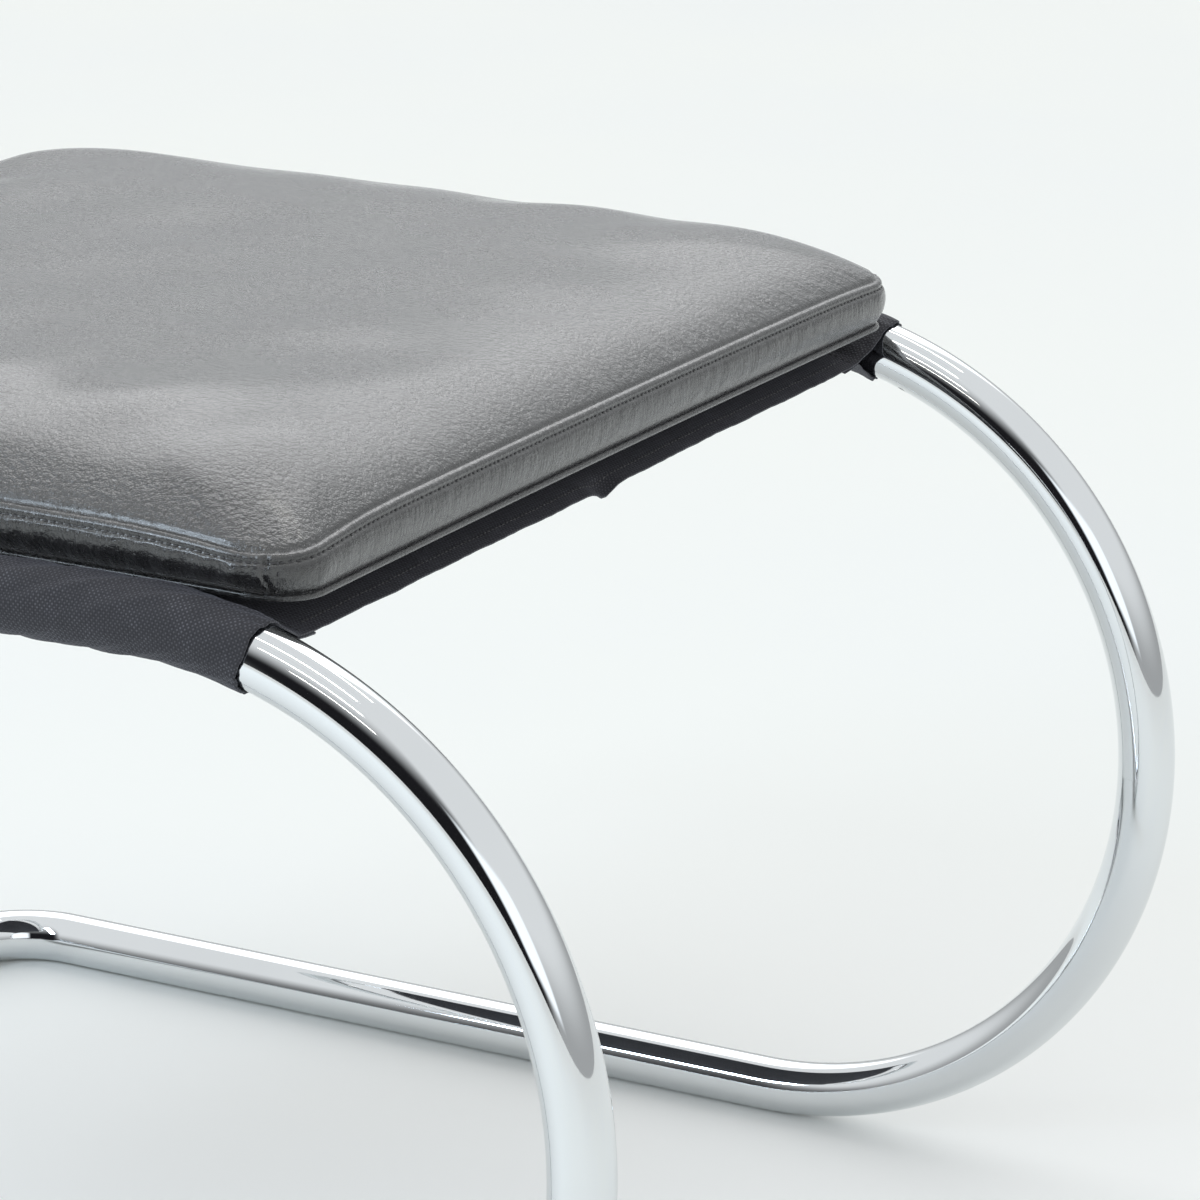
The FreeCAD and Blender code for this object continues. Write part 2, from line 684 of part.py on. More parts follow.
def zip_end_stops():
    """A stop on each tape where the zip closes, and one across both where it opens."""
    height = "dims.coil_width"
    depth = "dims.coil_height"
    start = "-dims.zip_length / 2 - dims.stop_length"
    above = "%s + dims.coil_gap / 2" % ZIP_HEIGHT
    below = "%s - dims.coil_gap / 2 - dims.coil_width" % ZIP_HEIGHT
    stops = [
        block("upper_stop", (start, TAPE_FACE, above), ("dims.stop_length", depth, height)),
        block("lower_stop", (start, TAPE_FACE, below), ("dims.stop_length", depth, height)),
        block("end_stop", ("dims.zip_length / 2", TAPE_FACE, below),
              ("dims.stop_length", depth, "2 * dims.coil_width + dims.coil_gap")),
    ]
    group = doc.addObject("Part::Compound", "stops")
    group.Links = stops
    keep(group, "zip_end_stops")


def zip_slider():
    """Two plates either side of the rows, joined by a thin web between them, and a bridge for the pull."""
    low = "%s - dims.slider_width / 2" % ZIP_HEIGHT
    plate_size = ("dims.slider_length", "dims.slider_plate", "dims.slider_width")
    outer = block("outer_plate", (SLIDER_START, "%s - dims.slider_plate" % PLATE_FACE, low), plate_size)
    inner = block("inner_plate", (SLIDER_START, "%s - dims.slider_plate" % BACK_FACE, low), plate_size)
    radius = size("slider_corner")
    plates = [rounded("plate_corners", plate, radius, Vector(0, 1, 0)) for plate in (outer, inner)]
    web_start = "%s + dims.slider_length / 4" % SLIDER_START
    corner = (web_start, "%s - dims.slider_plate / 2" % BACK_FACE,
              "%s - dims.slider_web / 2" % ZIP_HEIGHT)
    depth = "%s - %s" % (PLATE_FACE, BACK_FACE)
    web = block("web", corner, ("dims.slider_length / 2", depth, "dims.slider_web"))
    corner = ("%s - dims.bridge_length / 2" % PIVOT_X, "%s - dims.slider_plate / 2" % PLATE_FACE,
              "%s - dims.bridge_width / 2" % ZIP_HEIGHT)
    depth = "dims.bridge_height + dims.slider_plate / 2"
    bridge = block("bridge", corner, ("dims.bridge_length", depth, "dims.bridge_width"))
    eye = upright_rod("bridge_eye", "dims.pull_bar / 2 + dims.bridge_clearance", "dims.slider_width",
                      PIVOT_X, PIVOT_Y, low)
    body = fuse("slider_body", plates + [web, bridge])
    keep(cut("slider", body, eye), "zip_slider")


def zip_pull():
    """A flat tab with a window round the bridge and a bar through its eye, lying along the zip."""
    width = "dims.pull_width"
    low = "%s - dims.pull_width / 2" % ZIP_HEIGHT
    tab = block("tab", ("%s - dims.pull_bar / 2" % PIVOT_X, "%s - dims.pull_thickness / 2" % PIVOT_Y, low),
                ("dims.pull_length", "dims.pull_thickness", width))
    tab = rounded("tab_corners", tab, size("pull_bar") / 2, Vector(0, 1, 0))
    opening = "dims.bridge_width + 2 * dims.pull_window_clearance"
    corner = ("%s - dims.pull_bar" % PIVOT_X, "%s - dims.pull_thickness" % PIVOT_Y,
              "%s - (%s) / 2" % (ZIP_HEIGHT, opening))
    reach = "dims.pull_window + dims.pull_bar"
    window = block("window", corner, (reach, "2 * dims.pull_thickness", opening))
    hole = doc.addObject("Part::Cylinder", "finger_hole")
    hole.setExpression("Radius", "dims.pull_hole / 2")
    hole.setExpression("Height", "2 * dims.pull_thickness")
    hole.Placement = Placement(Vector(), Rotation(Vector(1, 0, 0), 90))
    place(hole, "%s + dims.pull_length - dims.pull_width / 2" % PIVOT_X,
          "%s + dims.pull_thickness" % PIVOT_Y, ZIP_HEIGHT)
    bar = upright_rod("bar", "dims.pull_bar / 2", width, PIVOT_X, PIVOT_Y, low)
    openings = fuse("openings", [window, hole])
    keep(fuse("pull", [cut("plate", tab, openings), bar]), "zip_pull")


def check_and_write():
    """Stop if a feature failed or a piece is empty or invalid, then write one file for each piece."""
    doc.recompute()
    for obj in doc.Objects:
        if "Invalid" in obj.State or "Error" in obj.State:
            raise RuntimeError("%s did not build: %s" % (obj.Label, obj.State))
    os.makedirs("parts", exist_ok=True)
    for obj in parts:
        shape = obj.Shape
        if shape.isNull() or not shape.isValid() or not shape.Solids:
            raise RuntimeError("%s has no valid solid" % obj.Label)
        shape.exportStep("parts/%s.step" % obj.Label)
        print(obj.Label, len(shape.Solids), round(shape.Volume, 1))


base_frame_tube()
seat_frame_tube()
joint_spigot("left_joint_spigot", -1)
joint_spigot("right_joint_spigot", 1)
spigot_screws()
sling()
cushion_cover()
cushion_filling()
cushion_piping()
zip_rows()
zip_end_stops()
zip_slider()
zip_pull()
check_and_write()
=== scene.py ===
"""Looks of a backless cantilever stool: chromed tube, cloth sling and a loose boxed leather cushion.

Metres, +Z up, the half circles of the frame face -Y, the origin is on the floor under the middle.
"""

import math

import bmesh
import bpy
import numpy as np
from mathutils import Matrix, Vector


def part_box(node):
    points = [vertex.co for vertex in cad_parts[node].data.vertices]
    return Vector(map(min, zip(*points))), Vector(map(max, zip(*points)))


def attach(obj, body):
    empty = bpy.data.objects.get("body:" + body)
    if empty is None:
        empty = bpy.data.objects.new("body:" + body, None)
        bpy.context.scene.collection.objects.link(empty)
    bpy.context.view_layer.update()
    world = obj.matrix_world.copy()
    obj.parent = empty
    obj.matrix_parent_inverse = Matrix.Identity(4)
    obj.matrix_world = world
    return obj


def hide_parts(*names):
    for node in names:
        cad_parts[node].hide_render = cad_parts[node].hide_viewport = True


bl_info = {
    "name": "Cantilever stool",
    "version": (1, 0, 0),
    "blender": (4, 5, 0),
    "location": "3D View > Sidebar > Stool",
    "description": "Chromed tube, cloth sling and leather cushion round a packed frame",
    "category": "Object",
}

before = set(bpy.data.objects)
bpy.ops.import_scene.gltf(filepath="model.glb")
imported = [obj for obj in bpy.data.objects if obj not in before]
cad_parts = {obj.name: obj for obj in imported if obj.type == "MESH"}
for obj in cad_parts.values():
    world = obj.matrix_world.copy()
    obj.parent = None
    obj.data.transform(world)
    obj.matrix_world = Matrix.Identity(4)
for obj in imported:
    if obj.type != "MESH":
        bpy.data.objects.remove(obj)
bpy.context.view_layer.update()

MM = 0.001
seat_low, seat_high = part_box("seat_frame_tube")
base_low, base_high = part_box("base_frame_tube")
TUBE_R = (seat_high.z - seat_low.z) / 2
TUBE_WALL = 2.0 * MM
RAIL_Z = (seat_high.z + seat_low.z) / 2
RAIL_X = base_high.x - TUBE_R
ARC_R = (RAIL_Z - TUBE_R) / 2
ARC_Z = RAIL_Z - ARC_R
ARC_Y = base_low.y + TUBE_R + ARC_R
REAR_Y = base_high.y - TUBE_R
CORNER_R = 46.5 * MM
JOINT_Y = ARC_Y + 60 * MM
MOUTH_ANGLE = math.radians(16)
CLOTH = 1.0 * MM
CLOTH_GAP = 0.25 * MM
TUNNEL_SEAM = 28.0 * MM

top_low, top_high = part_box("cushion_top_panel")
belly_low, belly_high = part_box("cushion_bottom_panel")
TOP_SEAM_Z = top_low.z
BOTTOM_SEAM_Z = belly_high.z
CROWN_Z = top_high.z
BELLY_Z = belly_low.z
HALF_X = 258.0 * MM
FRONT_Y = ARC_Y - 58.0 * MM
SEAM_REAR_Y = ARC_Y + 388.0 * MM
HALF_Y = (SEAM_REAR_Y - FRONT_Y) / 2
MID_Y = (SEAM_REAR_Y + FRONT_Y) / 2
SEAM_CORNER = 24.0 * MM
CROWN_CORNER = 72.0 * MM
CROWN_REACH = 120.0 * MM
CROWN_POWER = 7.5
STITCH_DROP = 4.1 * MM
coil_low, coil_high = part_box("zip_upper_coil")
lower_coil_low, lower_coil_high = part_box("zip_lower_coil")

PIPING_R = 1.2 * MM
SIDE_DRAW = 7.0 * MM     # how far the band's side runs in from the top seam to the bottom seam
BAND_SEAM_IN = 10.0 * MM  # the upright corner seams, from the front and the rear of the cushion
WADDING_GAP, FOAM_GAP = 2.6 * MM, 6.2 * MM  # how far the fillings lie inside the cover
WIRE_R, COIL_REACH = 0.28 * MM, 0.35 * MM   # the zip's monofilament, and how far the two coils mesh
VENT_ANGLE, VENT_TILT, VENT_R = math.radians(21), math.radians(60), 1.8 * MM
SCREW_STEP, SCREW_HOLE_R, HOLE_DEPTH = 22.0 * MM, 3.1 * MM, 10.0 * MM

# how many cells the cushion's nets have from side to side and from front to rear
COVER_CELLS, CLOTH_CELLS, FILLING_CELLS = (248, 216), (84, 72), (64, 56)
CLOTH_FRAMES = 20
FOLD_CAP = 0.5 * MM
BLUR_PASSES, SMOOTH_PASSES = 60, 6

FLOOR_REACH, FLOOR_RINGS, FLOOR_SPOKES = 9.0, 6, 48
STRIP_PLACES, STRIP_HEIGHT = (0.878, -0.481, -1.578, -2.644), 2.43
STRIP_WIDTH, STRIP_LENGTH, STRIP_RADIANCE = 0.065, 0.90, 8.0
SOFTBOX_PLACE, SOFTBOX_TARGET = (-1.77, 0.98, 1.67), (-0.26, 0.0, 0.41)
SOFTBOX_WIDTH, SOFTBOX_HEIGHT, SOFTBOX_RADIANCE = 0.36, 1.2, 13.0
WARM, COOL = (1.0, 0.98, 0.90), (0.74, 0.87, 1.0)

# the camera of the photograph, and where the window and the narrow light stand, as turns from +Y towards +X
VIEW_YAW, VIEW_PITCH, VIEW_ROLL = 1.0918527, 0.2885022, 0.0147901
VIEW_PLACE = Vector((-1.713414, -0.937724 + ARC_Y, 0.895852))
VIEW_LENS, VIEW_SENSOR = 150.83, 36.0
WINDOW_TURN, SLIT_TURN = math.radians(64), math.radians(-124)


def length_property(name, description, default):
    return bpy.props.FloatProperty(name=name, description=description, default=default * MM, unit="LENGTH")


def colour_property(name, description, default):
    return bpy.props.FloatVectorProperty(
        name=name, description=description, default=default, subtype="COLOR", size=3)


class StoolSizes(bpy.types.PropertyGroup):
    """Sizes of the sewing and the padding, given below in millimetres."""
    stitch_pitch: length_property("Stitch pitch", "Distance from one stitch of the cushion to the next", 3.3)
    stitch_length: length_property("Stitch length", "Length of thread that shows in one stitch", 2.3)
    thread_width: length_property("Thread width", "Thickness of the sewing thread", 0.65)
    undulation: length_property("Undulation", "Height of the soft waves on the top of the cushion", 1.2)
    corner_droop: length_property("Corner droop", "How far the seam sinks at the near front corner", 4.5)
    coil_pitch: length_property("Coil pitch", "Distance between two turns of the zip's coil", 1.3)


class StoolColours(bpy.types.PropertyGroup):
    """Colours of the finishes."""
    leather: colour_property("Leather", "Colour of the hide", (0.006, 0.006, 0.007))
    cloth: colour_property("Sling cloth", "Colour of the sling's yarn", (0.009, 0.009, 0.012))
    chrome: colour_property("Chrome", "Tint of the plating", (0.80, 0.815, 0.83))
    floor: colour_property("Floor", "Colour of the floor and the backdrop", (0.83, 0.86, 0.84))


def sizes():
    return bpy.context.scene.stool_sizes


def colours():
    return bpy.context.scene.stool_colours


class Wire:
    """A socket of a shader tree, or a sum worked out from such sockets."""

    def __init__(self, finish, socket):
        self.finish = finish
        self.socket = socket

    def maths(self, operation, *terms):
        inputs = dict(enumerate((self, *terms)))
        return self.finish.node("ShaderNodeMath", {"operation": operation}, inputs)

    def flipped(self, operation, first):
        return self.finish.node("ShaderNodeMath", {"operation": operation}, {0: first, 1: self})

    def __add__(self, other):
        return self.maths("ADD", other)

    def __radd__(self, other):
        return self.flipped("ADD", other)

    def __sub__(self, other):
        return self.maths("SUBTRACT", other)

    def __rsub__(self, other):
        return self.flipped("SUBTRACT", other)

    def __mul__(self, other):
        return self.maths("MULTIPLY", other)

    def __rmul__(self, other):
        return self.flipped("MULTIPLY", other)

    def __truediv__(self, other):
        return self.maths("DIVIDE", other)

    def __pow__(self, power):
        return self.maths("POWER", power)

    def sine(self):
        return self.maths("SINE")

    def size(self):
        return self.maths("ABSOLUTE")

    def limited(self, low=0.0, high=1.0):
        return self.finish.node("ShaderNodeClamp", {}, {"Value": self, "Min": low, "Max": high})

    def ramped(self, start, end, low=0.0, high=1.0):
        """The value's way from start to end, eased, as a number from low to high."""
        inputs = {"Value": self, "From Min": start, "From Max": end, "To Min": low, "To Max": high}
        return self.finish.node("ShaderNodeMapRange", {"interpolation_type": "SMOOTHSTEP"}, inputs)


class Finish:
    """A material, or the world, and the nodes that make it."""

    def __init__(self, name, world=None):
        if world is None:
            self.owner = bpy.data.materials.new(name)
        else:
            self.owner = world
        self.owner.use_nodes = True
        self.tree = self.owner.node_tree
        self.tree.nodes.clear()

    def node(self, kind, settings, inputs, output=0):
        node = self.tree.nodes.new(kind)
        for name, value in settings.items():
            if name == "stops":
                for index, (place, colour) in enumerate(value):
                    ramp = node.color_ramp.elements
                    stop = ramp[index] if index < len(ramp) else ramp.new(place)
                    stop.position, stop.color = place, (*colour, 1.0)
            else:
                setattr(node, name, value)
        for name, value in inputs.items():
            socket = self.find(node.inputs, name)
            if isinstance(value, Wire):
                self.tree.links.new(value.socket, socket)
            else:
                socket.default_value = value
        return Wire(self, self.find(node.outputs, output)) if len(node.outputs) else None

    @staticmethod
    def find(sockets, name):
        if isinstance(name, int):
            return sockets[name]
        for socket in sockets:
            if socket.identifier == name or (socket.name == name and socket.enabled):
                return socket
        raise KeyError(name)

    def place(self):
        return self.node("ShaderNodeTexCoord", {}, {}, "Object")

    def uv(self, layer):
        return self.node("ShaderNodeUVMap", {"uv_map": layer}, {}, "UV")

    def split(self, vector):
        node = self.node("ShaderNodeSeparateXYZ", {}, {"Vector": vector}).socket.node
        return [Wire(self, socket) for socket in node.outputs]

    def joined(self, x, y, z=0.0):
        return self.node("ShaderNodeCombineXYZ", {}, {"X": x, "Y": y, "Z": z})

    def stretched(self, vector, scale, turn=(0, 0, 0)):
        return self.node("ShaderNodeMapping", {}, {"Vector": vector, "Scale": scale, "Rotation": turn})

    def noise(self, vector, scale, detail=2.0, roughness=0.5, distortion=0.0):
        return self.node("ShaderNodeTexNoise", {}, {
            "Vector": vector, "Scale": scale, "Detail": detail, "Roughness": roughness,
            "Distortion": distortion})

    def cells(self, vector, scale, feature="F1", output="Distance", randomness=1.0):
        return self.node("ShaderNodeTexVoronoi", {"feature": feature}, {
            "Vector": vector, "Scale": scale, "Randomness": randomness}, output)

    def mixed(self, share, first, second):
        """A colour on the way from first to second."""
        first, second = [c if isinstance(c, Wire) else (*c, 1.0) for c in (first, second)]
        return self.node("ShaderNodeMix", {"data_type": "RGBA"}, {
            "Factor_Float": share, "A_Color": first, "B_Color": second}, "Result_Color")

    def bump(self, height, distance, strength=1.0, normal=None):
        inputs = {"Height": height, "Distance": distance, "Strength": strength}
        if normal is not None:
            inputs["Normal"] = normal
        return self.node("ShaderNodeBump", {}, inputs)

    def surface(self, **values):
        """The principled shader; names are its sockets, with underscores for spaces."""
        inputs = {}
        for name, value in values.items():
            if name == "Base_Color" and not isinstance(value, Wire):
                value = (*value, 1.0)
            inputs[name.replace("_", " ")] = value
        shader = self.node("ShaderNodeBsdfPrincipled", {}, inputs)
        self.node("ShaderNodeOutputMaterial", {}, {"Surface": shader})
        return self.owner


def chrome_finish():
    f = Finish("chromed_tube")
    place = f.place()
    smear = f.noise(place, 38.0, 3.0)
    grain = f.noise(f.stretched(place, (1.0, 0.35, 1.0)), 900.0, 2.0)
    roughness = 0.022 + smear * 0.03 + grain * 0.012
    film = f.noise(place, 9.0, 2.0).ramped(0.35, 0.7)
    tint = tuple(colours().chrome)
    dull = tuple(c * 0.965 for c in tint)
    wave = f.noise(place, 26.0, 1.0)
    return f.surface(
        Base_Color=f.mixed(film, tint, dull), Metallic=1.0, Roughness=roughness,
        Normal=f.bump(wave, 0.02 * MM, 0.35))


def bright_steel_finish():
    f = Finish("spigot_steel")
    x, y, z = f.split(f.place())
    turned = f.noise(f.joined(x * 0.4, y * 60.0, z * 0.4), 40.0, 3.0)
    oil = f.noise(f.place(), 60.0, 2.0).ramped(0.4, 0.7)
    return f.surface(
        Base_Color=f.mixed(oil, (0.46, 0.45, 0.43), (0.38, 0.36, 0.33)), Metallic=1.0,
        Roughness=0.26 + turned * 0.14, Normal=f.bump(turned, 0.03 * MM, 0.4))


def black_steel_finish():
    f = Finish("screw_steel")
    place = f.place()
    worn = f.noise(place, 500.0, 3.0).ramped(0.55, 0.75)
    return f.surface(
        Base_Color=f.mixed(worn, (0.030, 0.030, 0.034), (0.22, 0.22, 0.23)), Metallic=1.0,
        Roughness=0.46 - worn * 0.16, Normal=f.bump(f.noise(place, 2500.0), 0.02 * MM, 0.3))


def sling_finish():
    """Black woven polyester: a plain weave with a painted highlight on each crossing, and random patches of lint
    that strengthen these highlights and pale the cloth a little.
    """
    f = Finish("sling_cloth")
    u, v, _ = f.split(f.uv("weave"))
    yarn = 1.0 * MM
    warp = ((u + v) * (math.pi / (2 * yarn))).sine()
    weft = ((u - v) * (math.pi / (2 * yarn))).sine()
    turned = f.joined(u + v, u - v)
    dots = f.cells(turned, 1 / (2.0 * yarn), randomness=0.15).ramped(0.10, 0.40, 1.0, 0.0)
    weave = warp * weft
    slub = f.noise(f.joined(u * 0.25, v * 3.0), 160.0, 3.0)
    rib = f.noise(f.joined(u * 1.0, v * 0.12), 420.0, 2.0)
    lint_and_sheen = f.noise(f.place(), 75.0, 4.0, 0.6).ramped(0.5, 0.78)
    dark = tuple(colours().cloth)
    mid = tuple(c * 2.6 for c in dark)
    pale = (0.115, 0.118, 0.140)
    colour = f.mixed(weave.size() * 0.7 + slub * 0.3, dark, mid)
    # painted highlight: each weave crossing is mixed towards pale, more so where the lint patches lie, which also
    # pale the whole cloth a little
    colour = f.mixed((dots * (0.35 + lint_and_sheen * 0.5) + lint_and_sheen * 0.05).limited(), colour, pale)
    relief = weave * 0.35 + dots * 0.6 + rib * 0.5 + slub * 0.2
    return f.surface(
        Base_Color=colour, Roughness=0.72 - dots * 0.16 + slub * 0.1, IOR=1.5, Sheen_Weight=0.26,
        Sheen_Roughness=0.45, Sheen_Tint=(0.42, 0.44, 0.52, 1.0),
        Normal=f.bump(relief, 0.22 * MM, 0.9))


def leather_finish(name="black_leather", fine=1.0):
    """Pebbled black hide. Its grain stretches and folds across the seams, and calms down away from them."""
    f = Finish(name)
    place = f.place()
    along, across, _ = f.split(f.uv("seams"))
    near = across.size()
    band_side = across.ramped(-0.6 * MM, 0.0, 1.0, 0.0)
    sway = f.noise(place, 30.0, 2.0)
    warped = along + (sway - 0.5) * (5.0 * MM)
    # fine folds that run away from the seam
    lean = near * (0.55 * (sway - 0.5))
    folds = f.noise(f.joined((warped + lean) * 1.0, near * 0.16), 560.0, 2.0, 0.55)
    creases = f.noise(f.joined((along + lean * 2.0) * 1.0, near * 0.22), 210.0, 2.0, 0.5)
    top_fade = near.ramped(1.0 * MM, 16.0 * MM, 0.55, 0.0)
    fold_share = (band_side + (1.0 - band_side) * top_fade).limited()
    # pebbles and the fine wrinkles between them
    wave = f.noise(place, 16.0, 2.0)
    drift = f.stretched(place, (1.0, 1.25, 1.0), (0, 0, 0.5))
    pebble = f.cells(drift, 520.0 * fine, "SMOOTH_F1")
    small = f.cells(place, 1350.0 * fine)
    wrinkle = f.noise(f.stretched(place, (1.0, 0.42, 1.0), (0, 0, 0.9)), 420.0, 3.0, 0.6, 0.35)
    grain = (0.72 - pebble) * 0.75 + (0.5 - small) * 0.3 + wrinkle * (0.55 + wave * 0.5)
    relief = grain * (1.0 - fold_share * 0.45) + folds * fold_share * 1.1 + creases * fold_share * 0.5
    worn = (f.noise(place, 55.0, 4.0, 0.65).ramped(0.42, 0.72) * 0.6 + top_fade * 0.3).limited()
    ink = tuple(colours().leather)
    rubbed = tuple(c * 1.8 + 0.002 for c in ink)
    fold_crest_highlight = (0.022, 0.023, 0.027)
    colour = f.mixed(worn, ink, rubbed)
    # painted highlight: the raised crests of the folds near the seams are mixed towards a pale bluish grey
    colour = f.mixed((folds.ramped(0.56, 0.74) * fold_share * 0.6).limited(), colour, fold_crest_highlight)
    roughness = 0.25 + wave * 0.08 - grain * 0.03 - worn * 0.03
    return f.surface(
        Base_Color=colour, Roughness=roughness.limited(0.14, 0.6), IOR=1.7, Specular_IOR_Level=0.6,
        Coat_Weight=0.55, Coat_Roughness=0.16, Coat_IOR=1.5,
        Sheen_Weight=0.16, Sheen_Roughness=0.38, Sheen_Tint=(0.95, 0.97, 1.0, 1.0),
        Normal=f.bump(relief, 1.05 * MM, 0.9))


def thread_finish():
    f = Finish("black_thread")
    x, y, z = f.split(f.place())
    twist = ((x + y + z) * (2 * math.pi / (0.9 * MM))).sine()
    fibre = f.noise(f.place(), 3000.0, 2.0)
    return f.surface(
        Base_Color=f.mixed(fibre, (0.016, 0.016, 0.018), (0.060, 0.060, 0.066)), Roughness=0.34 + fibre * 0.12,
        Sheen_Weight=0.25, Normal=f.bump(twist * 0.5 + fibre, 0.05 * MM, 0.6))


def wadding_finish():
    f = Finish("wadding")
    fibre = f.noise(f.stretched(f.place(), (1.0, 0.25, 1.0), (0, 0, 0.6)), 900.0, 4.0, 0.7, 1.2)
    tuft = f.noise(f.place(), 70.0, 3.0)
    return f.surface(
        Base_Color=f.mixed(tuft, (0.78, 0.78, 0.75), (0.88, 0.88, 0.86)), Roughness=0.82 + fibre * 0.15,
        Sheen_Weight=0.4, Normal=f.bump(fibre + tuft, 0.6 * MM, 0.8))


def foam_finish():
    f = Finish("foam")
    pores = f.cells(f.place(), 900.0).ramped(0.15, 0.5)
    stain = f.noise(f.place(), 12.0, 3.0)
    return f.surface(
        Base_Color=f.mixed(stain, (0.80, 0.72, 0.48), (0.86, 0.80, 0.60)), Roughness=0.85 + pores * 0.1,
        Normal=f.bump(pores, 0.4 * MM, 0.7))


def tape_finish():
    f = Finish("zip_tape")
    x, y, z = f.split(f.place())
    herring = ((x * (math.pi / (0.9 * MM))).sine() * (z * (math.pi / (0.45 * MM))).sine()).size()
    fuzz = f.noise(f.place(), 1800.0, 3.0)
    return f.surface(
        Base_Color=f.mixed(herring * 0.6 + fuzz * 0.4, (0.014, 0.014, 0.016), (0.048, 0.048, 0.052)),
        Roughness=0.78 + fuzz * 0.12, Sheen_Weight=0.3, Normal=f.bump(herring, 0.12 * MM, 0.8))


def coil_finish():
    f = Finish("zip_coil")
    scuff = f.noise(f.place(), 900.0, 3.0).ramped(0.45, 0.7)
    return f.surface(
        Base_Color=f.mixed(scuff, (0.016, 0.016, 0.018), (0.055, 0.055, 0.060)), Roughness=0.30 + scuff * 0.2,
        IOR=1.53, Normal=f.bump(scuff, 0.02 * MM, 0.4))


def nickel_finish():
    f = Finish("zip_metal")
    place = f.place()
    cloud = f.noise(place, 260.0, 3.0)
    scratch = f.noise(f.stretched(place, (0.15, 1.0, 1.0)), 2600.0, 2.0).ramped(0.55, 0.7)
    return f.surface(
        Base_Color=f.mixed(cloud, (0.58, 0.57, 0.55), (0.66, 0.65, 0.63)), Metallic=1.0,
        Roughness=0.19 + cloud * 0.10 + scratch * 0.12, Normal=f.bump(scratch, 0.01 * MM, 0.4))


def new_piece(name, vertices, faces, material, edges=(), smooth=True):
    mesh = bpy.data.meshes.new(name)
    mesh.from_pydata([tuple(v) for v in np.asarray(vertices, float)], list(edges), faces)
    mesh.validate()
    if smooth and faces:
        mesh.polygons.foreach_set("use_smooth", [True] * len(mesh.polygons))
    piece = bpy.data.objects.new(name, mesh)
    bpy.context.scene.collection.objects.link(piece)
    if material is not None:
        mesh.materials.append(material)
    mesh.update()
    return piece


def finished(piece, body, slot, *nodes):
    """The piece rides on its body and stands for its CAD nodes, which it hides. The slot is not used."""
    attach(piece, body)
    if nodes:
        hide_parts(*nodes)
    return piece


def dress(material, *nodes):
    """Give CAD nodes that show as they are their material."""
    for node in nodes:
        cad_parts[node].data.materials.clear()
        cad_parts[node].data.materials.append(material)


def rows_of(collection, field, width, kind=float):
    """One field of all items of a mesh's collection, as an array with a row for each item."""
    flat = np.zeros(len(collection) * width, kind)
    collection.foreach_get(field, flat)
    return flat.reshape(-1, width) if width > 1 else flat


def positions(mesh):
    return rows_of(mesh.vertices, "co", 3)


def directions(mesh):
    return rows_of(mesh.vertex_normals, "vector", 3)


def lay_uv(mesh, name, u, v):
    """A UV map from the places u and v of the mesh's face corners."""
    mesh.uv_layers.new(name=name).data.foreach_set("uv", np.stack([u, v], -1).ravel())


def move_to(mesh, places):
    mesh.vertices.foreach_set("co", np.asarray(places, np.float32).ravel())
    mesh.update()


def face_out(mesh):
    shell = bmesh.new()
    shell.from_mesh(mesh)
    bmesh.ops.recalc_face_normals(shell, faces=shell.faces)
    shell.to_mesh(mesh)
    shell.free()
    mesh.update()


def to_plain_mesh(piece):
    """Turn what the piece's modifiers make into its own mesh, and take the modifiers off."""
    bpy.context.view_layer.update()
    evaluated = piece.evaluated_get(bpy.context.evaluated_depsgraph_get())
    mesh = bpy.data.meshes.new_from_object(evaluated)
    piece.modifiers.clear()
    piece.data = mesh
    mesh.name = piece.name
    return piece


class Recipe:
    """A Geometry Nodes tree with named inputs, whose last steps realise and paint what it makes."""

    def __init__(self, name, inputs):
        self.tree = bpy.data.node_groups.new(name, "GeometryNodeTree")
        self.tree.interface.new_socket("Geometry", in_out="INPUT", socket_type="NodeSocketGeometry")
        self.names = {}
        for label, kind in inputs:
            socket = self.tree.interface.new_socket(label, in_out="INPUT", socket_type=kind)
            self.names[label] = socket.identifier
        self.tree.interface.new_socket("Geometry", in_out="OUTPUT", socket_type="NodeSocketGeometry")
        self.source = self.tree.nodes.new("NodeGroupInput")

    def given(self, label):
        return self.source.outputs[label]

    def node(self, kind, settings=None, inputs=None, output=0):
        node = self.tree.nodes.new(kind)
        for name, value in (settings or {}).items():
            setattr(node, name, value)
        for name, value in (inputs or {}).items():
            socket = node.inputs[name]
            if isinstance(value, bpy.types.NodeSocket):
                self.tree.links.new(value, socket)
            else:
                socket.default_value = value
        return node.outputs[output]

    def finish(self, geometry):
        whole = self.node("GeometryNodeRealizeInstances", inputs={"Geometry": geometry})
        painted = self.node("GeometryNodeSetMaterial", inputs={
            "Geometry": whole, "Material": self.given("Material")})
        end = self.tree.nodes.new("NodeGroupOutput")
        self.tree.links.new(painted, end.inputs["Geometry"])

    def make(self, piece, **values):
        modifier = piece.modifiers.new("shape", "NODES")
        modifier.node_group = self.tree
        for label, value in values.items():
            modifier[self.names[label.replace("_", " ")]] = value
        return to_plain_mesh(piece)


def polylines(name, lines):
    """A mesh of bare edges, one run for each line, closed where a line is given as closed."""
    vertices, edges = [], []
    for points, closed in lines:
        start = len(vertices)
        vertices.extend(points)
        edges.extend((start + i, start + i + 1) for i in range(len(points) - 1))
        if closed:
            edges.append((len(vertices) - 1, start))
    return new_piece(name, vertices, [], None, edges)


